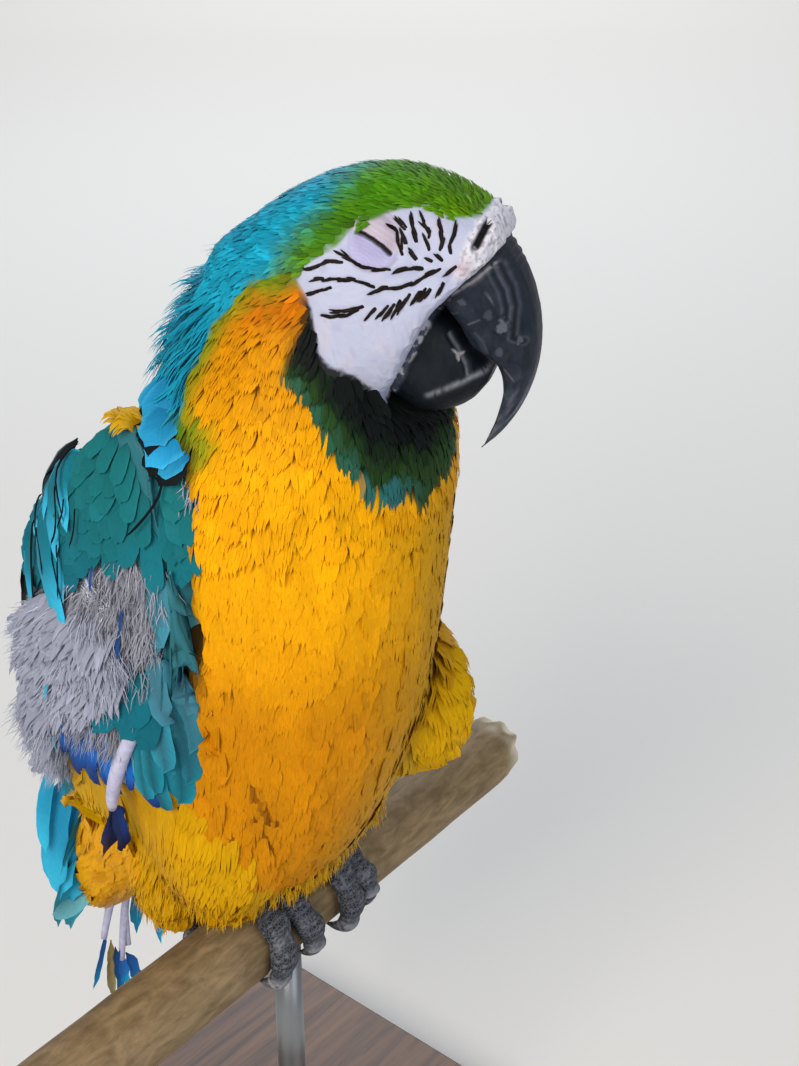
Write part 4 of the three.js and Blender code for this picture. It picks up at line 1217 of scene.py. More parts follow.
# Share of the way to the edge, forward and up of the underside, forward and up of the top, half width
lower_table = [
    [0, 19.5, 248.5, 34, 280, 15.4], [0.3, 29, 243.2, 41, 274.5, 14.8], [0.6, 40, 244.6, 46.5, 266, 12.6],
    [0.85, 47.5, 249.5, 50.5, 261.5, 9.6], [1, 51.3, 254.5, 52.5, 259.5, 6.5]]


def full_oval(angle, power):
    """A circle's two coordinates, swollen towards a square as power grows past 2."""
    return (np.sign(part) * np.abs(part) ** (2 / power) for part in (np.cos(angle), np.sin(angle)))


def bill_rings(inner, outer, half, flat_share, sides):
    """Oval sections from an inner to an outer line in the head's middle plane, seen as rings of points."""
    run = inner - outer
    height = np.linalg.norm(run, axis=1)
    run = run / height[:, None]
    low = flat_share * height
    angle = np.linspace(0, 2 * np.pi, sides, endpoint=False)
    across, along = full_oval(angle, 2.5)
    reach = np.where(along > 0, low[:, None] * along, (height - low)[:, None] * along)
    centre = inner - run * low[:, None]
    flat = centre[:, None] + run[:, None] * reach[..., None]
    wide = half[:, None] * across
    return np.stack([flat[..., 0], flat[..., 1], wide], axis=-1)


def head_places(rings):
    return from_head(rings[..., 0], rings[..., 1], rings[..., 2])


# Keratin horn: satin and dense, with fibres drawn out along its growth and pale worn patches.
def horn_material(name, roughness):
    material, tree = new_material(name)
    tint = add_node(tree, "ShaderNodeAttribute", {"attribute_name": "tint"}).outputs["Color"]
    place = add_node(tree, "ShaderNodeTexCoord").outputs["Object"]
    cloud = add_node(tree, "ShaderNodeTexNoise", inputs={
        "Vector": place, "Scale": 420.0, "Detail": 6.0, "Roughness": 0.65})
    depth = add_node(tree, "ShaderNodeMapRange", inputs={
        "Value": cloud.outputs["Fac"], "From Min": 0.3, "From Max": 0.7, "To Min": 0.66, "To Max": 1.2})
    shaded = add_node(tree, "ShaderNodeVectorMath", {"operation": "SCALE"}, {
        0: tint, "Scale": depth.outputs[0]})
    fibres = add_node(tree, "ShaderNodeTexNoise", inputs={
        "Vector": place, "Scale": 1500.0, "Detail": 3.0, "Roughness": 0.7})
    relief = add_node(tree, "ShaderNodeBump", inputs={
        "Strength": 0.35, "Distance": 0.0001, "Height": fibres.outputs["Fac"]})
    shader = add_node(tree, "ShaderNodeBsdfPrincipled", inputs={
        "Base Color": shaded.outputs[0], "Roughness": roughness, "Specular IOR Level": 0.16,
        "Normal": relief.outputs[0]})
    return finished(material, shader)


bill_horn = horn_material("bill_horn", 0.46)

# All lines are forward and up in the head: grooves, rims, scratches and worn spots of the upper half
culmen_grooves = [
    [(55.3, 295.6), (58.9, 289.3), (60.5, 283.7), (60.4, 277.6), (60.2, 273.7), (63.4, 272.1)],
    [(53.4, 294.4), (56.9, 288.4), (58.3, 283.2), (58.2, 279.6)]]
upper_base_rim = [(54.1, 296.6), (48.6, 291.6), (42.3, 287), (36, 282)]
edge_flap = [(49.3, 274.9), (51.6, 271.9), (52.6, 269), (53, 266)]
upper_scratches = [
    [(45.6, 281.7), (48.8, 282.5)], [(52.2, 288.1), (55.1, 284.3)], [(47.1, 277.5), (50.4, 279.3)],
    [(57.5, 262.1), (60.7, 257.4)], [(55.2, 257.9), (57.0, 251.8)], [(41.5, 279.9), (43.8, 281.0)]]
# Forward and up of the middle, half length along and up, and how pale
upper_spots = [(57.2, 277.3, 1.7, 3.0, 0.8), (62.3, 272.5, 0.9, 1.4, 0.7), (40.9, 285.5, 1.5, 1.1, 0.5),
               (45.2, 284.7, 1.9, 1.2, 0.45), (53.2, 281.0, 1.2, 1.6, 0.3), (56.5, 268.5, 1.3, 2.0, 0.35)]
lower_light_edge = [(40.1, 272.3), (43.1, 267.7), (45.8, 262.6), (46.5, 259.8)]
lower_nick = [(41.6, 267.9), (44.9, 266.4), (43.6, 264.2)]
lower_rim = [(34.4, 252), (41.6, 255.8), (48.2, 259.1), (51.3, 260)]
# A line along the lower half's side below its pale rim, painted near black as shade over the underside
lower_underside_shade = [(39, 251), (48, 255.4)]
lower_back = [(34, 280), (28.5, 268), (24.5, 258), (19.5, 248.5)]


def fibres_of(points, seed):
    """Streaks that run along the hook, from -1 to 1."""
    forward, up, across = head_view(points).T
    reach = np.hypot(forward - culmen_centre[0], up - culmen_centre[1])
    along = np.arctan2(up - culmen_centre[1], forward - culmen_centre[0]) * culmen_radius
    return grain(np.column_stack([reach * 1.5, along * 0.14, across * 1.5]), 1.5, seed)


def upper_marks(points):
    """Height of the worn relief of the upper half, and its colour."""
    forward, up, _ = head_view(points).T
    places = np.column_stack([forward, up])
    reach = np.linalg.norm(places - culmen_centre, axis=1)
    along = np.arctan2(up - culmen_centre[1], forward - culmen_centre[0]) * culmen_radius
    fibres = fibres_of(points, 201)
    tint = blend("#1e2633", "#262c37", smooth(-0.1, 0.6, grain(points, 7, 202)))
    tint = blend(tint, "#151b25", 0.7 * smooth(0.0, 0.6, fibres))
    low = smooth(265, 250, up)
    tint = blend(tint, "#3a414c", 0.8 * low * smooth(-0.6, 0.5, fibres))
    front = low * smooth(44, 50, reach) * smooth(-0.2, 0.6, fibres_of(points, 203))
    tint = blend(tint, "#666a79", 0.75 * front)
    height = 0.07 * grain(points, 2.2, 204) + 0.05 * fibres
    for number, groove in enumerate(culmen_grooves):
        distance = off_line(groove, places)
        height -= (0.5, 0.22)[number] * bump(distance, 0.5)
        height += (0.22, 0.1)[number] * bump(distance - 1.25, 0.5)
        # painted shade in each groove, and painted light on its raised edge
        tint = blend(tint, "#0c1017", 0.8 * bump(distance, 0.5))
        tint = blend(tint, "#4a505d", 0.5 * bump(distance - 1.25, 0.45))
    rim = off_line(upper_base_rim, places)
    height += 0.3 * bump(rim, 0.7) - 0.25 * bump(rim - 1.6, 0.6)
    tint = blend(tint, "#9c9aa0", 0.75 * bump(rim, 0.55) * smooth(-0.7, 0.1, grain(points, 1.4, 205)))
    flap = off_line(edge_flap, places)
    height += 0.4 * bump(flap, 0.7) - 0.3 * bump(flap - 1.5, 0.7)
    tint = blend(tint, "#3f4652", 0.6 * bump(flap, 0.6))
    for line in upper_scratches:
        distance = off_line(line, places)
        height -= 0.12 * bump(distance, 0.4)
        tint = blend(tint, "#7c7f87", 0.32 * bump(distance, 0.3) * smooth(-0.6, 0.4, fibres))
    for middle, level, half, tall, pale in upper_spots:
        off = np.hypot((forward - middle) / half, (up - level) / tall) + 0.5 * grain(points, 1.1, 206)
        height -= 0.35 * pale * smooth(1.1, 0.6, off)
        tint = blend(tint, "#5d626d", pale * smooth(1.0, 0.7, off))
        tint = blend(tint, "#0d1118", 0.8 * pale * bump(off - 1.2, 0.16))
    folds = smooth(47, 50, reach) * smooth(22, 30, along)
    height += 0.22 * folds * np.sin(along * 2.1 + 0.8 * grain(points, 3, 207))
    return height, tint


def lower_marks(points):
    """The same for the lower half."""
    forward, up, across = head_view(points).T
    places = np.column_stack([forward, up])
    streak = grain(np.column_stack([forward * 1.4, up * 0.3, across * 1.4]), 1.4, 211)
    tint = blend("#0e151c", "#151c24", smooth(-0.2, 0.6, grain(points, 6, 212)))
    tint = blend(tint, "#0c1117", 0.6 * smooth(0.1, 0.7, streak))
    height = 0.07 * grain(points, 2.4, 213) + 0.04 * streak
    light = off_line(lower_light_edge, places)
    height += 0.2 * bump(light, 0.5) - 0.3 * bump(light - 1.3, 0.6)
    tint = blend(tint, "#676b74", 0.75 * bump(light, 0.4))
    nick = smooth(-0.2, 0.4, inside(lower_nick, places) + 0.3 * grain(points, 0.9, 214))
    height -= 0.35 * nick
    tint = blend(tint, "#a3a2a2", 0.8 * nick)
    rim = off_line(lower_rim, places)
    height += 0.25 * bump(rim, 0.9)
    tint = blend(tint, "#7d818a", 0.8 * bump(rim, 0.9) * smooth(-1.2, 0.1, streak))
    # painted shade below the pale rim
    tint = blend(tint, "#070a0e", 0.8 * bump(off_line(lower_underside_shade, places), 1.1))
    back = off_line(lower_back, places) + 0.5 * grain(points, 2, 215)
    height += 0.3 * smooth(3.2, 1.6, back) * grain(points, 1.1, 216)
    tint = blend(tint, "#4d5564", 0.85 * smooth(3.4, 1.8, back))
    flake = smooth(0.25, 0.5, grain(points, 1.3, 217)) * smooth(3.6, 2.2, back)
    tint = blend(tint, "#c3c2c6", 0.85 * flake)
    return height, tint


def bill_half(name, rings, marks):
    """One half of the bill with its relief pressed in, in place of its solid."""
    points, faces = loft(head_places(rings))
    height, tint = marks(points)
    points = points + outward_of(points, faces[0]) * height[:, None]
    piece = build_mesh(name + "_horn", points, faces, bill_horn)
    mark(piece, "tint", tint)
    seat(piece, "bill", name)


share = np.linspace(0, 1, 200)
row = eased(upper_table, share)
angle = np.radians(40 - 89.5 * share)
culmen = culmen_centre + culmen_radius * np.column_stack([np.cos(angle), np.sin(angle)])
bill_half("bill_upper", bill_rings(row[:, :2], culmen, row[:, 2], 0.3, 190), upper_marks)
row = eased(lower_table, np.linspace(0, 1, 120))
bill_half("bill_lower", bill_rings(row[:, :2], row[:, 2:4], row[:, 4], 0.6, 160), lower_marks)

# ---------------------------------------------------------------------------------------------
# Tail: an old tail that is growing in again. Broad new feathers fan from the rump, and a few waxy
# sheaths with frayed ends hang lower.

# Flight feathers, coverts and tail feathers: closed thin vanes with a shaft, a camber and ragged
# edges. Each cross section has six points: left edge, left web, shaft, right web, right edge, underside.

vane_columns = np.array([-1, -0.72, 0, 0.72, 1, 0])
vane_shares = np.array([0, 0.08, 0.2, 0.35, 0.5, 0.65, 0.8, 0.9, 0.96, 1.0])
vane_breadth = np.array([0.12, 0.3, 0.75, 0.94, 1.0, 1.0, 0.97, 0.86, 0.64, 0.24])


def vanes(path, normals, heading, width, camber, ragged, seed):
    """Vanes along paths, as rings of six points and a point at each end."""
    draw = np.random.default_rng(seed)
    count, rows = path.shape[:2]
    side = unit(np.cross(heading, normals))
    half = (np.broadcast_to(width, count) / 2)[:, None] * vane_breadth
    wobble = draw.uniform(-ragged, ragged, (count, rows, 6)) * np.minimum(vane_shares * 3, 1)[None, :, None]
    wobble = 1 + wobble
    offset = vane_columns * half[..., None] * wobble
    drop = -camber * vane_columns ** 2 * half[..., None] * 0.5
    thick = np.array([0.0, 0.1, 0.24, 0.1, 0.0, -0.22]) * np.interp(vane_shares, [0, 1], [1.5, 0.7])[:, None]
    rings = path[:, :, None] + side[:, :, None] * offset[..., None]
    rings = rings + normals[:, :, None] * (drop + thick)[..., None]
    frayed = draw.uniform(-0.35, 0.35, (count, 6)) * half[:, 5:6] * ragged * 4
    rings[:, -2] += heading[:, -2, None] * frayed[..., None]
    ends = np.stack([path[:, 0], path[:, -1] + heading[:, -1] * (0.06 * np.linalg.norm(
        path[:, -1] - path[:, 0], axis=1))[:, None]], axis=1)
    paces = np.linalg.norm(np.diff(path, axis=1), axis=2)
    run = np.concatenate([np.zeros((count, 1)), np.cumsum(paces, axis=1)], axis=1)
    return {"rings": rings, "ends": ends, "offset": offset, "run": run, "root": path[:, 0]}


def vane_mesh(name, groups, material, slot, *replaced):
    """Joins vanes and their colours into one piece; each group is (vanes, colours[feather, row, column])."""
    all_points, quads, unders, tips, ends, tint, barbs, bake, first = [], [], [], [], [], [], [], [], 0
    tip_points, tip_shafts = [], []
    for feather, colours in groups:
        count, rows = feather["rings"].shape[:2]
        size = rows * 6 + 2
        start = (first + np.arange(count) * size)[:, None, None]
        row, column = np.meshgrid(np.arange(rows - 1) * 6, np.arange(6), indexing="ij")
        here, beside = (row + column).ravel(), (row + (column + 1) % 6).ravel()
        strips = np.column_stack([here, beside, beside + 6, here + 6])
        quads.append((strips[here % 6 < 4][None] + start).reshape(-1, 4))
        unders.append((strips[here % 6 > 3][None] + start).reshape(-1, 4))
        around, last = np.arange(6), (rows - 1) * 6
        low = np.column_stack([np.full(6, rows * 6), (around + 1) % 6, around])
        high = np.column_stack([np.full(6, rows * 6 + 1), last + around, last + (around + 1) % 6])
        tips.append((high[:4][None] + start).reshape(-1, 3))
        ends.append((np.concatenate([low, high[4:]])[None] + start).reshape(-1, 3))
        tip_points.append(start.ravel() + rows * 6 + 1)
        tip_shafts.append(start.ravel() + last + 2)
        points = np.concatenate([feather["rings"].reshape(count, -1, 3), feather["ends"]], axis=1)
        all_points.append(points.reshape(-1, 3))
        colours = np.broadcast_to(colours, (count, rows, 6, 3)).reshape(count, -1, 3)
        tint.append(np.concatenate([colours, colours[:, :1], colours[:, -1:]], axis=1).reshape(-1, 3))
        away = np.abs(feather["offset"])
        run = feather["run"][..., None] * np.ones(6)
        shift = (np.arange(count) * 31.7 + first)[:, None]
        along = (0.82 * run + 0.57 * away).reshape(count, -1)
        across = (0.57 * run - 0.82 * away).reshape(count, -1)
        pair = [np.column_stack([v, v[:, :1], v[:, -1:]]) + shift for v in (across, along)]
        barbs.append(np.stack(pair, axis=-1).reshape(-1, 2))
        share = feather["run"] / feather["run"][:, -1:]
        widest = away.max((1, 2), keepdims=True) + 1e-9
        patch = np.stack([feather["offset"] / widest * 0.5,
                          np.broadcast_to(share[..., None] - 0.5, away.shape)], axis=-1)
        patch = patch.reshape(count, -1, 2)
        patch = np.concatenate([patch, [[[0, -0.5], [0, 0.5]]] * np.ones((count, 1, 1))], axis=1)
        bake.append((skin_spot(feather["root"])[:, None] + bake_patch * patch).reshape(-1, 2))
        first += count * size
    faces = [np.concatenate(group) for group in (quads, unders, tips, ends)]
    points = np.concatenate(all_points)
    facing = outward_of(points, faces[0])
    facing[np.concatenate(tip_points)] = facing[np.concatenate(tip_shafts)]
    piece = build_mesh(name, points, faces, material, (1, 3), facing)
    mark(piece, "tint", np.concatenate(tint))
    lay_maps(piece, faces, np.concatenate(bake), np.concatenate(barbs))
    seat(piece, slot, *replaced)
    return piece


def graded(count, base, tip=None, edge=None, shaft=None, spread=0.1, seed=1):
    """Colours for vanes: base to tip along the run, other colours at the two edges and on the shaft, and
    painted shade towards the root.
    """
    draw = np.random.default_rng(seed)
    colours = np.tile(base, (count, len(vane_shares), 6, 1)).astype(float)
    if tip is not None:
        colours += (tip - colours) * smooth(0.55, 1.0, vane_shares)[None, :, None, None]
    if edge is not None:
        colours[:, :, [0, 4]] = colours[:, :, [0, 4]] * 0.3 + 0.7 * edge
    if shaft is not None:
        colours[:, :, 2] = shaft
    colours *= np.exp(draw.normal(0, spread, (count, 1, 1, 1)))
    # painted shade: each vane is darker towards its root, where the feathers over it lie
    colours *= (0.7 + 0.3 * smooth(0, 0.4, vane_shares))[None, :, None, None]
    return np.clip(colours, 0, 1)


def rows_of(values):
    """A table of feathers, a row for each."""
    return np.array(values, float)


# the tail's blues are brightened: painted light on feathers that face away from the lamps and the camera
tail_blue_painted_light = painted("#2ba7d6")
tail_teal_painted_light = painted("#45c2dc")
tail_pale = painted("#9fe4ea")
# Root across, back and up; middle; tip; width
tail_fan = rows_of([
    [-15, 84, 14, -27, 100, -10, -38, 103, -38, 18], [-9, 84, 14, -16, 106, -20, -22, 116, -58, 20],
    [-1, 84, 14, -2, 108, -24, -2, 123, -62, 22], [8, 84, 14, 14, 106, -20, 19, 117, -58, 20],
    [15, 84, 14, 27, 100, -12, 37, 101, -40, 18], [12, 84, 14, 22, 104, -22, 30, 108, -60, 15],
    [-16, 86, 24, -22, 104, 0, -24, 112, -34, 19], [-20, 84, 22, -29, 96, 2, -32, 104, -24, 14]])
curled = rows_of([
    [-13, 88, 6, -16, 108, -24, -31, 112, -42, 16], [-10, 90, 0, -10, 112, -32, -20, 116, -50, 12]])
fringe = rows_of([
    [-30, 80, 36, -34, 90, 16, -36, 96, -4, 6], [-26, 82, 34, -29, 92, 14, -30, 100, -8, 7],
    [-22, 84, 32, -24, 96, 12, -23, 104, -10, 6], [6, 88, -18, 10, 104, -48, 12, 112, -84, 7],
    [14, 86, -14, 20, 104, -50, 26, 112, -100, 8], [20, 86, -12, 26, 100, -46, 33, 108, -96, 7]])
frayed = rows_of([
    [-7, 112, -74, -11, 112, -86, -17, 112, -100, 5], [-4, 112, -80, -6, 112, -94, -6, 112, -112, 6],
    [0, 112, -90, 1, 112, -102, 3, 112, -112, 5], [4, 112, -94, 8, 112, -106, 10, 112, -118, 6],
    [-2, 112, -86, -2, 112, -100, -1, 112, -118, 5]])


def bent(start, middle, end, share):
    """The curve that runs from start through middle to end, at shares of its way."""
    knee = 2 * middle - (start + end) / 2
    return start * (1 - share) ** 2 + 2 * knee * share * (1 - share) + end * share ** 2


def tail_vanes(table, camber, ragged, seed, facing=None):
    """Vanes along free curves; a row is root, middle and tip across, back and up, then the width."""
    path = bent(*(table[:, None, i:i + 3] for i in (0, 3, 6)), vane_shares[None, :, None])
    heading = unit(np.gradient(path, axis=1))
    if facing is None:
        facing = 0.15 * np.sign(table[:, :1]) * (1, 0, 0) + (0, 1, 0.35)
    facing = np.broadcast_to(np.reshape(facing, (-1, 1, 3)), path.shape)
    normals = unit(facing - (facing * heading).sum(-1, keepdims=True) * heading)
    return vanes(path, normals, heading, table[:, 9], camber, ragged, seed)


curled_colours = graded(len(curled), tail_teal_painted_light, tail_pale, edge=tail_teal_painted_light, seed=73)
frayed_colours = graded(len(frayed), painted("#2a66b0"), painted("#1b9fd0"), spread=0.3, seed=74)
frayed_colours[1] = frayed_colours[1] * 0.2 + 0.8 * painted("#b59a2a")
tail_groups = [
    (tail_vanes(tail_fan, 0.35, 0.06, 71),
     graded(len(tail_fan), tail_blue_painted_light, tail_teal_painted_light, edge=tail_teal_painted_light, seed=72)),
    (tail_vanes(curled, 0.5, 0.05, 75), curled_colours),
    (tail_vanes(fringe, 0.3, 0.3, 76), graded(len(fringe), tail_blue_painted_light * 0.5, tail_blue_painted_light, spread=0.2, seed=77)),
    (tail_vanes(frayed, 0.3, 0.4, 78), frayed_colours)]
vane_mesh("tail_feathers", tail_groups, vane_barbs, "blue_plumage", "tail")

# Side feathers of the tail: they face the bird's right, and the lowest one curls up at its pale tip.
tail_side = rows_of([
    [-34, 90, 60, -41, 97, 36, -43, 99, 8, 6], [-30, 92, 44, -37, 98, 18, -39, 100, -16, 12],
    [-24, 92, 34, -32, 99, 4, -37, 101, -22, 12], [-18, 92, 22, -25, 100, -6, -30, 102, -30, 12],
    [-17, 100, -26, -28, 101, -33, -42, 100, -30, 8]])
side_colours = graded(
    len(tail_side), painted("#2590b8"), painted("#37b4da"), edge=painted("#2aa4cc"), seed=175)
side_colours[-1] = side_colours[-1] * 0.5 + 0.5 * tail_pale
vane_mesh("tail_side_feathers", [(tail_vanes(tail_side, 0.3, 0.08, 176, (-0.75, -0.45, 0.45)), side_colours)],
          vane_barbs, "blue_plumage")

# ---------------------------------------------------------------------------------------------
# Mane: the last broad feathers of the nape, which lie over the front of the right shoulder. Each is a
# free vane, and a dark one a little below it, a sheet of painted shade, shows as the gap to the next.

mane = rows_of([
    [-33, 3, 252, -38, 6, 247, -44, 12, 239, 11], [-33, 0, 252, -41, 2, 247, -48, 6, 239, 11],
    [-33, 2, 243, -44, 0, 241, -52, 0, 237, 11], [-34, 0, 243, -46, -2, 241, -55, -2, 235, 12],
    [-38, -8, 237, -49, -7, 235, -57, -4, 229, 11], [-41, -11, 234, -50, -10, 232, -56, -7, 226, 10]])
# near-black vanes a little below the mane: painted shade in the gaps
mane_gap_shades = mane - np.array([0, 0, 0, 0, 0, 1.5, 0, 1.0, 3.0, -1.5])
mane_facing = (-0.55, -0.35, 0.75)
mane_colours = graded(len(mane), painted("#1b7fae"), painted("#2795c4"), edge=painted("#3aa8d2"), seed=172)
vane_mesh("mane_feathers", [
    (tail_vanes(mane_gap_shades, 0.2, 0.1, 173, mane_facing),
     graded(len(mane), painted("#0a1214"), spread=0.2, seed=174)),
    (tail_vanes(mane, 0.25, 0.12, 171, mane_facing), mane_colours)], vane_barbs, "blue_plumage")

# ---------------------------------------------------------------------------------------------
# Sheaths: the waxy tubes that growing feathers push out of. Three hang below the tail, as closed tubes
# that swell in the middle.

# Sheath wax: papery and lilac-white, with a flaking surface.
sheath_wax, tree = new_material("sheath_wax")
place = add_node(tree, "ShaderNodeTexCoord").outputs["Object"]
flaking = add_node(tree, "ShaderNodeTexNoise", inputs={"Vector": place, "Scale": 420.0, "Detail": 4.0})
tone = add_node(tree, "ShaderNodeMix", {"data_type": "RGBA"}, {
    "Factor": flaking.outputs["Fac"], 6: "#8f8fb8", 7: "#d6d6ea"})
relief = add_node(tree, "ShaderNodeBump", inputs={
    "Strength": 0.5, "Distance": 0.0003, "Height": flaking.outputs["Fac"]})
finished(sheath_wax, add_node(tree, "ShaderNodeBsdfPrincipled", inputs={
    "Base Color": tone.outputs[2], "Roughness": 0.55, "Normal": relief.outputs[0]}))


def joined(lofts):
    """The points and faces of several lofts as those of one mesh."""
    count, all_points, quads, ends = 0, [], [], []
    for points, (four, three) in lofts:
        all_points.append(points)
        quads.append(four + count)
        ends.append(three + count)
        count += len(points)
    return np.concatenate(all_points), [np.concatenate(quads), np.concatenate(ends)]


def tube_parts(paths, radii):
    """Closed tubes of ten sides along paths, as points and faces of one mesh."""
    angle = np.linspace(0, 2 * np.pi, 10, endpoint=False)
    tubes = []
    for path, radius in zip(paths, radii):
        heading = unit(np.gradient(path, axis=0))
        side = unit(np.cross(heading, (0, 0.6, 0.8)))
        up = np.cross(side, heading)
        rings = path[:, None] + radius[:, None, None] * (
            side[:, None] * np.cos(angle)[None, :, None] + up[:, None] * np.sin(-angle)[None, :, None])
        tubes.append(loft(rings))
    return joined(tubes)


sheath_shares = np.linspace(0, 1, 14)


def bowed(*places):
    """The middle line of a sheath, through three places."""
    return bent(*np.array(places, float), sheath_shares[:, None])


tail_sheaths = [bowed((2, 100, -20), (0, 110, -48), (-8, 112, -76)),
                bowed((8, 100, -20), (8, 111, -56), (1, 112, -96)),
                bowed((4, 104, -40), (6, 112, -70), (6, 112, -90))]
sheath_radii = [np.interp(sheath_shares, [0, 0.7, 1], [1.2, 2.0, 1.5])] * 3
points, faces = tube_parts(tail_sheaths, sheath_radii)
seat(build_mesh("tail_sheaths", points, faces, sheath_wax), "wing_plumage")

# ---------------------------------------------------------------------------------------------
# Right wing: in heavy moult. Whole teal coverts roof the shoulder, long narrow cyan ones sweep back,
# and below their ragged edge grey down is bare, with a few teal and navy feathers and one waxy sheath.

wing_teal = painted("#0f6475")
wing_teal_low = painted("#1a6272")
wing_cyan = painted("#35b4dc")
quill_black = painted("#0a1114")


def beside(places_yz, sign):
    """Where places given as back and up lie on the skin of one side, looked at from outside."""
    found = [skin_hull.ray_cast(Vector((sign * 200, y, z)), Vector((-sign, 0, 0))) for y, z in places_yz]
    hit = np.array([h[0] is not None and sign * h[0].x > 20 for h in found])
    place = np.array([h[0] if ok else (sign * 50, y, z) for h, ok, (y, z) in zip(found, hit, places_yz)])
    outward = np.array([face_normal[h[2]] if ok else (sign, 0, 0) for h, ok in zip(found, hit)])
    return place, outward, hit


def side_path(table, sign, low, high, shares=vane_shares):
    """Paths over one side; a row is root back and up, middle back and up, tip back and up, width, lift.

    The height above the skin grows from low to high, plus the row's own lift.
    """
    run = bent(*(table[:, None, i:i + 2] for i in (0, 2, 4)), shares[None, :, None])
    count, rows = run.shape[:2]
    place, outward, hit = beside(run.reshape(-1, 2), sign)
    place, outward = (found.reshape(count, rows, 3) for found in (place, outward))
    hit = hit.reshape(count, rows)
    for row in range(1, rows):
        lost = ~hit[:, row]
        place[lost, row, 0] = place[lost, row - 1, 0] * 0.985
        outward[lost, row] = outward[lost, row - 1]
    for _ in range(3):
        place[:, 1:-1, 0] = (place[:, :-2, 0] + place[:, 1:-1, 0] + place[:, 2:, 0]) / 3
        outward[:, 1:-1] = outward[:, :-2] + outward[:, 1:-1] + outward[:, 2:]
        outward = unit(outward + np.array([0.3 * sign, 0, 0]))
    rise = low + (high - low + table[:, 7:8]) * shares
    path = place + outward * rise[..., None]
    return path, outward, unit(np.gradient(path, axis=1))


def side_vanes(table, sign, low, high, camber=0.3, ragged=0.06, seed=1):
    """Vanes along such paths."""
    path, outward, heading = side_path(table, sign, low, high)
    return vanes(path, outward, heading, table[:, 6], camber, ragged, seed)


def straight(*rows):
    """Rows of root back and up, tip back and up, width, as rows with a middle and no lift."""
    table = np.array(rows, float)
    return np.column_stack([table[:, :2], (table[:, :2] + table[:, 2:4]) / 2, table[:, 2:5], 0 * table[:, 0]])


def laid_path(roots, length, sway, shares, lift):
    """Runs along the skin from roots, following the lie, and rising by lift coat depths at the tip."""
    places, outward, part = roots
    path, normals, heading = [places], [outward], []
    for step in np.diff(shares):
        way = lie(path[-1], normals[-1], part)
        way = unit(way + np.cross(way, normals[-1]) * sway[:, None])
        heading.append(way)
        ahead, normal, face = on_skin(path[-1] + way * (step * length)[:, None])
        path.append(ahead)
        normals.append(unit(normal + 2.5 * normals[-1]))
    heading.append(heading[-1])
    path, normals, heading = (np.stack(rows, axis=1) for rows in (path, normals, heading))
    cover = np.maximum(face_coat[face], 0.7)
    rise = shares ** 0.9 * (cover * lift)[:, None] - 0.4 * (1 - shares)
    return path + normals * rise[..., None], normals, heading


def covert_rows(chooser, spacing, seed, edge=None):
    """Whole coverts over the shoulder of a wing, small at the top and longer below."""
    roots = scattered(chooser, spacing, seed)
    outer = roots[1][:, 0] * np.sign(roots[0][:, 0]) > 0.5
    roots = tuple(rows[outer] for rows in roots)
    down = smooth(240, 195, roots[0][:, 2])
    length = 13 + 14 * down
    if edge is not None:
        kept = roots[0][:, 2] - 0.75 * length > np.interp(roots[0][:, 1], *edge.T)
        roots, length, down = tuple(rows[kept] for rows in roots), length[kept], down[kept]
    order = np.argsort(roots[0][:, 2])
    roots, length, down = tuple(rows[order] for rows in roots), length[order], down[order]
    draw = np.random.default_rng(seed)
    path, outward, heading = laid_path(roots, length, draw.normal(0, 0.07, len(length)), vane_shares, 1.1)
    beside_body = ((np.abs(path[..., 0]) > 49) | (path[..., 2] > 224)).all(1)
    path, outward, heading, down = (rows[beside_body] for rows in (path, outward, heading, down))
    return vanes(path, outward, heading, 6.4 + 3 * down, 0.12, 0.07, seed)


coverts = covert_rows(lambda m, part: (part == right_wing) & (m[:, 0] < -40), 3.5, 101, moult_edge)
covert_colours = graded(
    len(coverts["root"]), wing_teal, wing_teal * 1.05, edge=wing_teal * 1.15, spread=0.07, seed=102)
covert_high = smooth(195, 228, coverts["root"][:, 2])[:, None, None, None]
covert_colours = covert_colours * (1 + covert_high * np.array([0.5, 0.12, -0.12]))
# Root, middle and tip, each as back and up, then width and lift
sweeping = rows_of([
    [44, 204, 52, 182, 33, 157, 12, 2.5], [38, 206, 44, 184, 37, 167, 8, -0.6],
    [48, 204, 57, 187, 46, 169, 8, -0.8], [42, 212, 56, 197, 60, 182, 7, -0.4],
    [38, 218, 50, 206, 50, 192, 5, 0.2], [34, 220, 48, 202, 40, 182, 10, 0],
    [26, 222, 41, 210, 33, 195, 10, -0.2], [48, 202, 63, 184, 70, 164, 6, -1],
    [56, 188, 67, 169, 58, 152, 7, 1.0], [56, 178, 64, 154, 79, 128, 9, -1.6],
    [62, 166, 71, 149, 77, 131, 5, -1.8]])
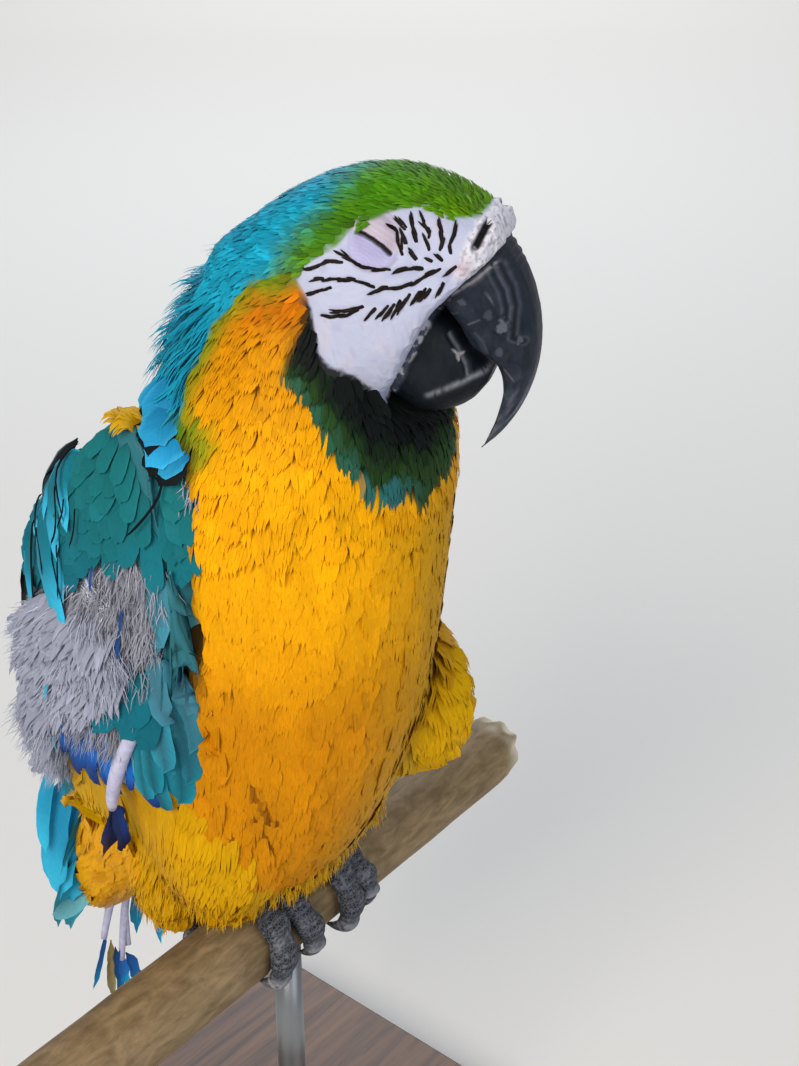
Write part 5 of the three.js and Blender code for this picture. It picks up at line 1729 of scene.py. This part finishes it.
# Black shafts, and dark strips of painted shade in the gaps between feathers, each 1 mm wide or a little more
shafts_and_gap_shades = rows_of([
    [33, 224, 40, 212, 31, 200, 1.5, 2.3], [44, 205, 39, 194, 40, 187, 1.3, 1.6],
    [58, 184, 52, 178, 48, 172, 1.3, 1.2], [40, 186, 38, 177, 37, 168, 1.3, 1.2],
    [48, 207, 50, 204, 49, 200, 1.2, 1.4], [53, 198, 56, 192, 55, 184, 1.5, 1],
    [60, 186, 61, 174, 59, 155, 2.2, 0.2], [28, 204, 27, 197, 28, 191, 0.9, 1.5],
    [-6, 226, -5, 215, 0, 205, 1.0, 1.5], [52, 176, 50, 168, 44, 160, 1.2, 0],
    [36, 204, 34, 200, 35, 195, 1.0, 2]])
loose = rows_of([
    [38, 223, 55, 206, 67, 188, 5, 0], [52, 202, 73, 175, 77, 155, 6, 0], [66, 168, 81, 143, 84, 128, 5, 0],
    [38, 222, 52, 208, 56, 201, 5, 0.5], [50, 208, 62, 191, 66, 181, 6, 0], [56, 186, 69, 166, 74, 143, 6, 0],
    [60, 178, 75, 158, 80, 137, 5, 0]])
low_strip = straight(
    [-5, 198, -8, 160, 10], [-6, 186, -9, 148, 10], [-6, 174, -9, 134, 11], [-2, 166, -5, 130, 8],
    [-7, 158, -9, 118, 11], [-2, 148, -4, 112, 9], [-6, 142, -7, 104, 11], [1, 134, 1, 100, 9],
    [-5, 128, -4, 94, 11], [5, 124, 6, 95, 9], [1, 121, 2, 89, 9])
strip_greys = np.array([0.55, 0.6, 0.6, 0.5, 0.35, 0.2, 0.1, 0, 0, 0, 0])
scallops = straight([6, 152, 12, 129, 13], [1, 151, 4, 130, 12], [10, 148, 20, 122, 12], [3, 145, 8, 124, 13],
                    [-2, 143, 1, 122, 11])
stubs = straight(
    [38, 124, 44, 87, 7], [33, 122, 39, 93, 6], [32, 122, 34, 88, 7], [27, 122, 29, 98, 6],
    [23, 120, 22, 90, 8], [42, 118, 47, 98, 5], [8, 114, 5, 90, 8], [11, 112, 12, 97, 5],
    [28, 112, 25, 92, 5])
bright_bits = rows_of([
    [70, 134, 77, 116, 73, 98, 5, 0], [62, 116, 58, 106, 48, 100, 6, 2],
    [66, 146, 72, 130, 73, 118, 4, 0], [50, 134, 46, 130, 42, 127, 5, 6]])
blue_bits = rows_of([[9, 166, 9, 161, 8, 156, 2.0, 2.5], [6, 175, 7, 171, 6, 167, 1.6, 2.0],
                   [20, 186, 20, 182, 19, 178, 1.6, 1.5]])
low_teal = straight([68, 76, 76, 40, 8], [60, 74, 60, 40, 9], [64, 76, 68, 34, 8], [56, 72, 53, 46, 7])
yellow_bit = straight([50, 112, 58, 66, 9], [48, 100, 52, 74, 7])
rear_colours = graded(len(sweeping), wing_teal * 1.2, wing_cyan, spread=0.06, seed=104)
rear_colours[:, :, 4] = wing_cyan
loose_colours = graded(len(loose), quill_black, painted("#0f2f3c"), spread=0.2, seed=106)
loose_colours[:, :, 4] = painted("#5f7f8c")
strip_colours = graded(len(low_strip), wing_teal_low, wing_teal, edge=wing_teal * 1.3,
                       shaft=wing_teal_low * 0.5, spread=0.08, seed=108)
# the strip is brightened 1.6 times: painted light, as it lies in shade by the groove
strip_colours *= 1.6
strip_colours += (painted("#4f7f93") - strip_colours) * strip_greys[:, None, None, None]
groups = [
    (coverts, covert_colours),
    (side_vanes(sweeping, -1, 1.0, 4.8, 0.3, 0.05, 103), rear_colours),
    (side_vanes(shafts_and_gap_shades, -1, 4.2, 4.8, 0.1, 0.1, 123), graded(len(shafts_and_gap_shades), quill_black, spread=0.2, seed=124)),
    (side_vanes(loose, -1, 0.5, 1.5, 0.3, 0.2, 105), loose_colours),
    (side_vanes(low_strip[::-1], -1, 0.8, 4.8, 0.3, 0.06, 107), strip_colours[::-1]),
    (side_vanes(scallops, -1, 2.0, 6.5, 0.4, 0.06, 109),
     graded(len(scallops), wing_teal, spread=0.1, seed=110)),
    (side_vanes(stubs, -1, 1.0, 5.0, 0.4, 0.35, 113),
     graded(len(stubs), painted("#1a5fae"), painted("#152c6e"), spread=0.3, seed=114)),
    (side_vanes(bright_bits, -1, 3.0, 4.5, 0.4, 0.1, 117),
     graded(len(bright_bits), wing_cyan, spread=0.05, seed=118)),
    (side_vanes(blue_bits, -1, 3.0, 4.0, 0.4, 0.2, 125),
     graded(len(blue_bits), painted("#1d407c"), seed=126)),
    (side_vanes(low_teal, -1, 1.0, 2.0, 0.4, 0.3, 119),
     graded(len(low_teal), wing_teal_low, spread=0.1, seed=120)),
    (side_vanes(yellow_bit, -1, 1.0, 4.0, 0.6, 0.1, 121),
     graded(2, painted("#c79b12"), painted("#8a6a12"), seed=122))]
vane_mesh("wing_right_feathers", groups, vane_barbs, "wing_plumage")

# One waxy sheath hangs from the bare wing, and a new navy feather opens from its end.
hanging = bowed((-64.5, 6, 125), (-67, 15, 104), (-64, 24, 81))
points, faces = tube_parts([hanging], [np.interp(sheath_shares, [0, 0.5, 0.9, 1], [2.6, 2.9, 2.4, 1.6])])
seat(build_mesh("wing_sheath", points, faces, sheath_wax), "wing_plumage")
navy_rows = rows_of([
    [-64, 23, 84, -62, 29, 68, -58, 37, 51, 12], [-63.5, 24, 84, -60, 26, 68, -57, 28, 56, 7]])
new_vanes = tail_vanes(navy_rows, 0.5, 0.25, 115)
navy_colours = graded(2, painted("#22418a"), painted("#131f4d"), seed=116)
vane_mesh("new_navy_feather", [(new_vanes, navy_colours)], vane_barbs, "wing_plumage")

# ---------------------------------------------------------------------------------------------
# Down: grey underfeathers that lie bare where the right wing's coverts have dropped out. A bed of soft
# locks carries tufts of fine curling barbs, which fall away from the middle of each patch.


def down_tufts(places, outward, lead, length, barbs, spread, puff, seed):
    """Tufts of thin barbs at places; lead is the way they fall, puff how far they stand off first."""
    draw = np.random.default_rng(seed)
    count = len(places) * barbs
    root = np.repeat(places, barbs, axis=0) + draw.normal(0, 0.6, (count, 3))
    out = np.repeat(outward, barbs, axis=0)
    fall = np.repeat(lead, barbs, axis=0)
    size = np.repeat(np.broadcast_to(length, len(places)), barbs) * draw.uniform(0.55, 1.1, count)
    start = unit(out * puff + fall * 0.6 + draw.normal(0, spread, (count, 3)))
    finish = unit(fall + out * 0.15 + draw.normal(0, spread * 0.8, (count, 3)))
    s = lock_shares[None, :, None]
    fallen = start[:, None] * s * (1 - 0.5 * s) + finish[:, None] * s ** 2 * 0.5
    centre = root[:, None] + size[:, None, None] * fallen
    curl = draw.normal(0, 0.05, (count, 1, 3)) * size[:, None, None]
    centre = centre + curl * np.sin(s * np.pi * draw.uniform(1, 2, (count, 1, 1)))
    heading = unit(np.gradient(centre, axis=1))
    side = unit(np.cross(heading, out[:, None]))
    half = np.array([0.2, 0.22, 0.18, 0.1]) * draw.uniform(0.7, 1.2, (count, 1))
    blades = blades_of(centre, np.broadcast_to(out[:, None], centre.shape), side, half)
    return {"points": blades, "root": root, "half": half, "length": size,
            "tuft": np.repeat(np.arange(len(places)), barbs)}


def strewn(outline, spacing, seed):
    """Places strewn evenly inside an outline, given as back and up."""
    draw = np.random.default_rng(seed)
    low, high = np.min(outline, axis=0), np.max(outline, axis=0)
    grid = np.meshgrid(*(np.arange(a, b, spacing) for a, b in zip(low, high)))
    grid = np.stack(grid, axis=-1).reshape(-1, 2)
    grid = grid + draw.uniform(-0.5, 0.5, grid.shape) * spacing
    return grid[inside(outline, grid) > 0]


def down_patch(outline, spacing, source, length, barbs, spread, puff, seed):
    """A patch of down on the right wing whose barbs fall away from its source."""
    spot = strewn(outline, spacing, seed)
    place, outward, hit = beside(spot, -1)
    away = np.column_stack([np.zeros(len(spot)), spot - np.array(source)])
    return down_tufts(place[hit], outward[hit], unit(away[hit]), length, barbs, spread, puff, seed + 1)


def down_piece(name, patch, base, seed):
    """A patch as a mesh piece, its colour varied a little by barb and by tuft."""
    draw = np.random.default_rng(seed)
    by_barb = draw.normal(0, 0.10, len(patch["half"]))
    by_tuft = draw.normal(0, 0.12, patch["tuft"].max() + 1)
    shade = np.exp(by_barb + by_tuft[patch["tuft"]])
    return lock_mesh(name, patch, base * shade[:, None], feather_barbs, "wing_plumage")


# Outlines of the patches on the wing's side, as back and up
puff_outline = [(60, 154), (46, 162), (31, 166), (18, 166), (10, 160), (11, 151), (17, 141), (26, 132),
                (38, 126), (54, 126), (68, 132), (68, 144)]
low_outline = [(66, 116), (52, 114), (48, 108), (54, 92), (64, 80), (74, 80), (80, 92), (76, 108)]
bare_outline = [(34, 176), (20, 187), (5, 195), (-4, 194), (-13, 190), (-6, 172), (-2, 156), (0, 146),
                (12, 130), (10, 118), (22, 112), (48, 112), (56, 120), (60, 160)]
frizz_outline = [(28, 172), (24, 166), (16, 166), (14, 172), (20, 177)]
gap_outline = [(-20, 214), (-8, 214), (-8, 226), (-16, 229)]
# Name, outline, spacing, place it falls from, length, barbs in a tuft, spread, puff, seed, colour
down_table = [
    ("down_puff", puff_outline, 2.9, (30, 180), 17, 30, 0.17, 0.7, 131, "#a5abbe"),
    ("down_low", low_outline, 3.6, (58, 140), 19, 24, 0.18, 0.5, 133, "#a0a6b8"),
    ("down_bare_wing", bare_outline, 4.0, (14, 300), 12, 18, 0.22, 0.25, 135, "#8d8f9c"),
    ("down_frizz", frizz_outline, 2.6, (22, 150), 7, 14, 0.5, 0.8, 137, "#dfe2ec"),
    ("down_gap", gap_outline, 3.0, (-14, 250), 7, 12, 0.35, 0.5, 139, "#8e93a2")]


def in_puff(middle, part):
    """Whether faces lie under one of the two thick patches."""
    over = np.maximum(inside(puff_outline, middle[:, 1:]), inside(low_outline, middle[:, 1:]))
    return (part == right_wing) & (middle[:, 0] < -44) & (over > -1)


bed_roots = scattered(in_puff, 3.4, 151)
bed = plumes(bed_roots, 15, 8, 7, 2.6, 0.16, 0.2, 1.3, 0.9, 152)
bed_shade = np.exp(np.random.default_rng(153).normal(0, 0.08, len(bed["half"])))[:, None]
lock_mesh("down_bed", bed, painted("#9499ac") * bed_shade, feather_barbs, "wing_plumage")
for name, *patch, seed, grey in down_table:
    down_piece(name, down_patch(*patch, seed), painted(grey), seed + 1)

# ---------------------------------------------------------------------------------------------
# Shoulder tuft: a few yellow feathers that stand on top of the right shoulder.

tuft_roots = scattered(lambda m, part: (
    (part == right_wing) & (m[:, 0] < -40) & (m[:, 1] > 6) & (m[:, 1] < 18) & (m[:, 2] > 236)), 2.6, 181)
tuft = plumes(tuft_roots, 8, 6, 9, 1.3, 0.06, 0.1, 1.2, 0.8, 182)
tuft_colours = np.tile(painted("#c79a10"), (len(tuft["half"]), 1))
lock_mesh("shoulder_tuft", tuft, tuft_colours, feather_barbs, "yellow_plumage")

# ---------------------------------------------------------------------------------------------
# Yellow flank: soft fans that hang from the foot of the bare wing over the thigh, in uneven rows.


def flank_fans(count, seed):
    """Fans from roots strewn along the wing's foot, longer where the flank reaches lower."""
    draw = np.random.default_rng(seed)
    across, level = draw.random((2, count))
    root = np.column_stack([50 - 60 * across, 96 - 34 * level - 6 * np.sin(across * 3.1)])
    tip_low = np.interp(across, [0, 0.25, 0.45, 0.75, 1.0], [38, 28, 24, 27, 52])
    tip = np.column_stack([57 - 66 * across, tip_low + 26 * (1 - level)])
    middle = (root + tip) / 2 + np.column_stack([3 * (0.5 - across), 0 * across])
    rows = np.column_stack([root, middle, tip, np.full(count, 12.0), 2.2 * (1 - level)])
    path, outward, heading = side_path(rows, -1, 0.2, 3.2, lock_shares)
    length = np.linalg.norm(path[:, -1] - path[:, 0], axis=1)
    return locks_along(path, outward, heading, np.zeros((count, 5)), rows[:, 6], length, np.full(count, 4.0),
                       np.full(count, right_thigh), 13, 0.08, 0.06, 1.25, draw)


fans = flank_fans(170, 161)
lock_mesh("flank_feathers", fans, tinted(fans, 0.05, 162), feather_barbs, "yellow_plumage")

# ---------------------------------------------------------------------------------------------
# Fringe: fine yellow barbs that hang from the lower edge of belly and thighs over the feet.

fringe_roots = scattered(lambda m, part: (
    np.isin(part, [trunk_part, *thighs]) & (m[:, 2] < 44) & (m[:, 1] < 40)), 3.6, 191)
hang = unit(lie(*fringe_roots) + np.array([0, 0, -0.8]))
fringe_places, fringe_outward, _ = fringe_roots
barb_fringe = down_tufts(
    fringe_places + 3 * fringe_outward, fringe_outward, hang, 9.0, 9, 0.12, 0.25, 192)
fringe_colours = plumage(barb_fringe["root"], np.full(len(barb_fringe["root"]), right_thigh)) * 1.1
lock_mesh("fringe_feathers", barb_fringe, np.clip(fringe_colours, 0, 1), feather_barbs, "yellow_plumage")

# ---------------------------------------------------------------------------------------------
# Left wing: whole. Teal coverts over the shoulder, longer blue ones below, and long blue flight
# feathers that reach back to the tail and are yellow beneath.

flight_blue = painted("#1565b0")
left_coverts = covert_rows(lambda m, part: (part == left_wing) & (m[:, 0] > 40) & (m[:, 2] > 140), 4.4, 141)
greater = straight(*([y, z, y + 0.42 * length, z - 0.91 * length, 14] for y, z, length in (
    (-6, 168, 34), (6, 172, 36), (18, 174, 37), (30, 173, 38), (42, 168, 38), (54, 160, 36),
    (-4, 142, 34), (8, 144, 37), (20, 145, 39), (32, 144, 40), (44, 140, 40), (56, 133, 38), (66, 124, 34))))
flights = straight(
    [30, 122, 66, 10, 16], [36, 120, 72, 0, 17], [42, 118, 77, -8, 17], [48, 114, 82, -16, 17],
    [54, 110, 87, -22, 17], [60, 106, 92, -28, 17], [66, 102, 98, -32, 16], [70, 96, 103, -32, 15],
    [20, 120, 54, 30, 15], [10, 120, 40, 52, 15], [2, 118, 26, 72, 14], [-4, 116, 14, 86, 13])
flight_colours = graded(
    len(flights), flight_blue, flight_blue * 0.8, shaft=quill_black, spread=0.08, seed=144)
flight_colours[:, :, 5] = painted("#c9a013")
left_groups = [
    (left_coverts, graded(len(left_coverts["root"]), wing_teal, wing_teal * 1.2, edge=wing_teal * 1.3,
                          spread=0.14, seed=142)),
    (side_vanes(greater[::-1], 1, 1.5, 5.0, 0.4, 0.03, 145),
     graded(len(greater), painted("#1b7fae"), flight_blue, edge=wing_cyan * 0.8, spread=0.08, seed=146)),
    (side_vanes(flights, 1, 1.0, 3.5, 0.4, 0.02, 143), flight_colours)]
vane_mesh("wing_left_feathers", left_groups, vane_barbs, "wing_plumage")

# ---------------------------------------------------------------------------------------------
# Eyes: dark, glossy balls behind the closed lids, which bulge over them. Each is turned as rings from
# foot to top and stands in its solid's place.

# Cornea: wet and clear over a dark iris, so it reads near black with a sharp shine.
cornea, tree = new_material("cornea")
finished(cornea, add_node(tree, "ShaderNodeBsdfPrincipled", inputs={
    "Base Color": "#0d0b0a", "Roughness": 0.08}))
eyeball_radius = 6.4


def ball_rings(sides, count):
    """Rings of a ball of radius 1, from its foot to its top."""
    around = np.linspace(0, 2 * np.pi, sides, endpoint=False)
    turn, lean = np.meshgrid(around, np.linspace(0.12, np.pi - 0.12, count))
    ball = np.stack([np.sin(lean) * np.cos(turn), np.sin(lean) * np.sin(turn), np.cos(lean)], axis=-1)
    return ball[::-1]


for side_name, sign in (("right", -1), ("left", 1)):
    points, faces = loft(from_head(*eye_middle, sign * eye_out) + eyeball_radius * ball_rings(40, 20))
    seat(build_mesh("eyeball_" + side_name, points, faces, cornea), "eye", "eye_" + side_name)

# ---------------------------------------------------------------------------------------------
# Feet: two toes forward and two back round the dowel, clad in small slate scales, with a blunt dark
# claw on each. Toes and claws are lofts bent round the dowel, and a ball and a shank join the toes.

foot_spots = {"right": -17, "left": 19}
toe_table = {"right": [(-24, 122), (-4, 106), (-33, -104), (-6, -88)],
             "left": [(18, 122), (30, 92), (8, -88), (35, -104)]}


def round_dowel(start_x, end_x, start, end, half, height, lift, count, sides):
    """Rings of a toe or claw that bends round the dowel from one angle to another."""
    share = np.linspace(0, 1, count)
    angle = np.radians(start + (end - start) * share)
    out = np.column_stack([0 * angle, -np.sin(angle), np.cos(angle)])
    centre = out * (dowel_radius + lift + height / 2)[:, None]
    centre[:, 0] = start_x + (end_x - start_x) * np.sqrt(share)
    around = np.linspace(0, 2 * np.pi, sides, endpoint=False) * np.sign(end - start)
    across, upward = full_oval(around, 2.3)
    rings = centre[:, None] + out[:, None] * (height[:, None] / 2 * upward)[..., None]
    rings[..., 0] += half[:, None] * across
    return rings


# Reticulate scales: small horny plates about 2 mm wide, slate with pale dusty seams between them.
foot_scales, tree = new_material("foot_scales")
tint = add_node(tree, "ShaderNodeAttribute", {"attribute_name": "tint"}).outputs["Color"]
place = add_node(tree, "ShaderNodeTexCoord").outputs["Object"]
strayed = add_node(tree, "ShaderNodeTexNoise", inputs={"Vector": place, "Scale": 260.0, "Detail": 2.0})
wavy = add_node(tree, "ShaderNodeVectorMath", {"operation": "MULTIPLY_ADD"}, {
    0: strayed.outputs["Color"], 1: (0.0012, 0.0012, 0.0012), 2: place})
plates = add_node(tree, "ShaderNodeTexVoronoi", {"feature": "DISTANCE_TO_EDGE"}, {
    "Vector": wavy.outputs[0], "Scale": 760.0})
seam = add_node(tree, "ShaderNodeMapRange", inputs={
    "Value": plates.outputs["Distance"], "From Min": 0.02, "From Max": 0.16, "To Min": 0.5, "To Max": 0.0})
dusted = add_node(tree, "ShaderNodeMix", {"data_type": "RGBA"}, {
    "Factor": seam.outputs[0], 6: tint, 7: "#6c717d"})
domed = add_node(tree, "ShaderNodeMapRange", inputs={"Value": plates.outputs["Distance"], "From Max": 0.3})
relief = add_node(tree, "ShaderNodeBump", inputs={
    "Strength": 0.6, "Distance": 0.0003, "Height": domed.outputs[0]})
finished(foot_scales, add_node(tree, "ShaderNodeBsdfPrincipled", inputs={
    "Base Color": dusted.outputs[2], "Roughness": 0.7, "Specular IOR Level": 0.25,
    "Normal": relief.outputs[0]}))

claw_horn = horn_material("claw_horn", 0.5)


def foot_tint(points, end):
    """Slate scales, paler by blotches and whitish where end is 1."""
    tint = blend("#1c1f25", "#31353d", smooth(-0.2, 0.7, grain(points, 5, 221)))
    dust = grain(points, 1.1, 222) + 0.4 * grain(points, 6, 226)
    tint = blend(tint, "#8b8d96", 0.5 * smooth(0.25, 0.7, dust))
    return blend(tint, "#b9babf", 0.8 * end * smooth(-0.7, 0.3, grain(points, 1.8, 223)))


for side_name, foot_x in foot_spots.items():
    parts, tints = [], []
    for number, (tip_x, angle) in enumerate(toe_table[side_name]):
        s = np.linspace(0, 1, 110)
        pad = (1 + 0.09 * np.cos(6 * np.pi * s)) * (1 - 0.22 * s ** 3)
        pad *= np.sqrt(np.clip(1 - np.clip((s - 0.93) / 0.075, 0, None) ** 2, 0.1, 1))
        rings = round_dowel(foot_x, tip_x, 0, angle, 6.2 * pad, 9.5 * pad, 0.6, 110, 32)
        # plates across the toe's back: each is domed, with a sharp crease to the next
        middle = rings.mean(1, keepdims=True)
        back = smooth(0.1, 0.9, np.sin(np.linspace(0, 2 * np.pi, 32, endpoint=False)) * np.sign(angle))
        crease = 1 - np.abs(np.sin(s * np.pi * 15)) ** 0.6
        fold = bump(np.abs((s * 3) % 1 - 0.5), 0.07)
        drawn_in = 0.07 * crease[:, None] * back + 0.05 * fold[:, None]
        rings = middle + (rings - middle) * (1 - drawn_in)[..., None]
        toe, faces = loft(rings)
        parts.append((toe, faces))
        ends = smooth(0.8, 1.0, np.append(np.repeat(s, 32), [0, 1]))
        seams = np.append((crease[:, None] * back).ravel(), [0, 0]) ** 2
        tints.append(blend(foot_tint(toe, ends), "#868b97", 0.5 * seams))
        s = np.linspace(0, 1, 36)
        start = angle + np.sign(angle) * 1.2
        rings = round_dowel(tip_x, tip_x, start, start + np.sign(angle) * 34, 3.1 * (1 - 0.85 * s),
                            6.4 * (1 - 0.85 * s), 1.0, 36, 24)
        points, faces = loft(rings)
        pits = 0.1 * grain(points * (0.5, 1, 1), 1.6, 224)
        points = points + outward_of(points, faces[0]) * pits[:, None]
        node = f"claw_{side_name}_{number + 1}"
        claw = build_mesh(node + "_horn", points, faces, claw_horn)
        worn = np.append(np.repeat(s, 24), [0, 1])
        horn_tint = blend("#5d5f66", "#23262c", smooth(0.1, 0.9, worn))
        mark(claw, "tint", blend(horn_tint, "#8f9095", 0.6 * smooth(0, 0.6, grain(points, 1.5, 225))))
        seat(claw, "claw", node)
    parts.append(loft(np.array([foot_x, 0, 24.4]) + ball_rings(60, 30) * (13.5, 12, 7.8)))
    s = np.linspace(0, 1, 30)[:, None]
    around = np.linspace(0, 2 * np.pi, 40, endpoint=False)
    girth = 8.5 + 0.2 * np.sin(s * 42)
    shank = np.stack([foot_x + girth * np.cos(around), 2 + 8 * s + girth * np.sin(around),
                      21 + 26 * s + 0 * around], axis=-1)
    parts.append(loft(shank))
    tints += [foot_tint(points, np.zeros(len(points))) for points, _ in parts[4:]]
    foot = build_mesh("foot_" + side_name + "_scales", *joined(parts), foot_scales)
    mark(foot, "tint", np.concatenate(tints))
    seat(foot, "foot_skin", "foot_" + side_name)

# ---------------------------------------------------------------------------------------------
# Display stand: an oiled walnut board with round corners and eased edges, and one brushed steel rod
# that rises from it to a saddle under the dowel.

# Oiled walnut: brown, with darker bands along the board, short dark pores and a low satin shine.
walnut, tree = new_material("oiled_walnut")
place = add_node(tree, "ShaderNodeTexCoord").outputs["Object"]
along = add_node(tree, "ShaderNodeMapping", inputs={"Vector": place, "Scale": (4, 60, 20)})
bands = add_node(tree, "ShaderNodeTexNoise", inputs={
    "Vector": along.outputs[0], "Scale": 1.6, "Detail": 5.0, "Roughness": 0.55, "Distortion": 1.2})
tone = add_node(tree, "ShaderNodeValToRGB", inputs={"Fac": bands.outputs["Fac"]})
tone.color_ramp.elements[0].position = 0.34
tone.color_ramp.elements[0].color = (*painted("#3a281d"), 1)
tone.color_ramp.elements[1].position = 0.64
tone.color_ramp.elements[1].color = (*painted("#6d4d37"), 1)
fine = add_node(tree, "ShaderNodeMapping", inputs={"Vector": place, "Scale": (70, 1400, 1400)})
pores = add_node(tree, "ShaderNodeTexNoise", inputs={"Vector": fine.outputs[0], "Scale": 1.0, "Detail": 2.0})
pore = add_node(tree, "ShaderNodeMapRange", inputs={
    "Value": pores.outputs["Fac"], "From Min": 0.6, "From Max": 0.72, "To Max": 0.6})
pored = add_node(tree, "ShaderNodeMix", {"data_type": "RGBA"}, {
    "Factor": pore.outputs[0], 6: tone.outputs[0], 7: "#21160f"})
relief = add_node(tree, "ShaderNodeBump", inputs={
    "Strength": 0.2, "Distance": 0.0002, "Height": pores.outputs["Fac"]})
finished(walnut, add_node(tree, "ShaderNodeBsdfPrincipled", inputs={
    "Base Color": pored.outputs[2], "Roughness": 0.42, "Normal": relief.outputs[0]}))

base_low, base_high = (np.array(corner) * 1000 - perch_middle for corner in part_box("stand_base"))
half_x, half_y = (base_high - base_low)[:2] / 2
board_edge = 2.0
corner_round = 28.0
corner_turn = np.radians(np.arange(0, 360, 5) + 2.5)
corner_sign = np.column_stack([np.sign(np.cos(corner_turn)), np.sign(np.sin(corner_turn))])
corner_way = np.column_stack([np.cos(corner_turn), np.sin(corner_turn)])
lean = np.radians([0, 22, 45, 68, 90])
steps = [(1 - np.sin(turn), 1 - np.cos(turn)) for turn in lean]
profile = ([(board_edge * drawn, base_low[2] + board_edge * up) for drawn, up in steps]
           + [(board_edge * drawn, base_high[2] - board_edge * up) for drawn, up in steps[::-1]])
rings = []
for drawn, level in profile:
    spot = corner_sign * ((half_x, half_y) - np.array(corner_round)) + corner_way * (corner_round - drawn)
    rings.append(np.column_stack([spot + (base_low + base_high)[:2] / 2, np.full(len(spot), level)]))
points, faces = loft(np.array(rings))
board = build_mesh("stand_board", points, faces, walnut, (1,))
seat(board, "stand_wood", "stand_base")

# Brushed steel: bare metal, drawn round by fine abrasive, so that its shine spreads along the rod.
steel, tree = new_material("brushed_steel")
place = add_node(tree, "ShaderNodeTexCoord").outputs["Object"]
round_it = add_node(tree, "ShaderNodeMapping", inputs={"Vector": place, "Scale": (60, 60, 4000)})
scoring = add_node(tree, "ShaderNodeTexNoise", inputs={
    "Vector": round_it.outputs[0], "Scale": 1.0, "Detail": 3.0})
polish = add_node(tree, "ShaderNodeMapRange", inputs={
    "Value": scoring.outputs["Fac"], "To Min": 0.3, "To Max": 0.5})
relief = add_node(tree, "ShaderNodeBump", inputs={
    "Strength": 0.15, "Distance": 0.00005, "Height": scoring.outputs["Fac"]})
finished(steel, add_node(tree, "ShaderNodeBsdfPrincipled", inputs={
    "Base Color": "#8d9093", "Metallic": 1.0, "Roughness": polish.outputs[0], "Normal": relief.outputs[0]}))

rod_low, rod_high = (np.array(corner) * 1000 - perch_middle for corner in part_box("stand_rod"))
rod_radius = (rod_high - rod_low)[0] / 2
around = np.linspace(0, 2 * np.pi, 64, endpoint=False)
rod_way = np.column_stack([np.cos(around), np.sin(around)])
# Radius of each ring and its height above the rod's foot; those with none lie on the saddle
rod_profile = [(rod_radius - 0.4, 0), (rod_radius, 0.4), (rod_radius, 60), (rod_radius, 120),
               (rod_radius, None), (rod_radius * 0.7, None), (rod_radius * 0.4, None), (0.2, None)]
rings = []
for radius, level in rod_profile:
    spot = (rod_low + rod_high)[:2] / 2 + rod_way * radius
    top = -np.sqrt((dowel_radius + 0.3) ** 2 - spot[:, 1] ** 2)
    rings.append(np.column_stack([spot, top if level is None else np.full(64, rod_low[2] + level)]))
points, faces = loft(np.array(rings))
seat(build_mesh("stand_steel_rod", points, faces, steel), "stand_steel", "stand_rod")
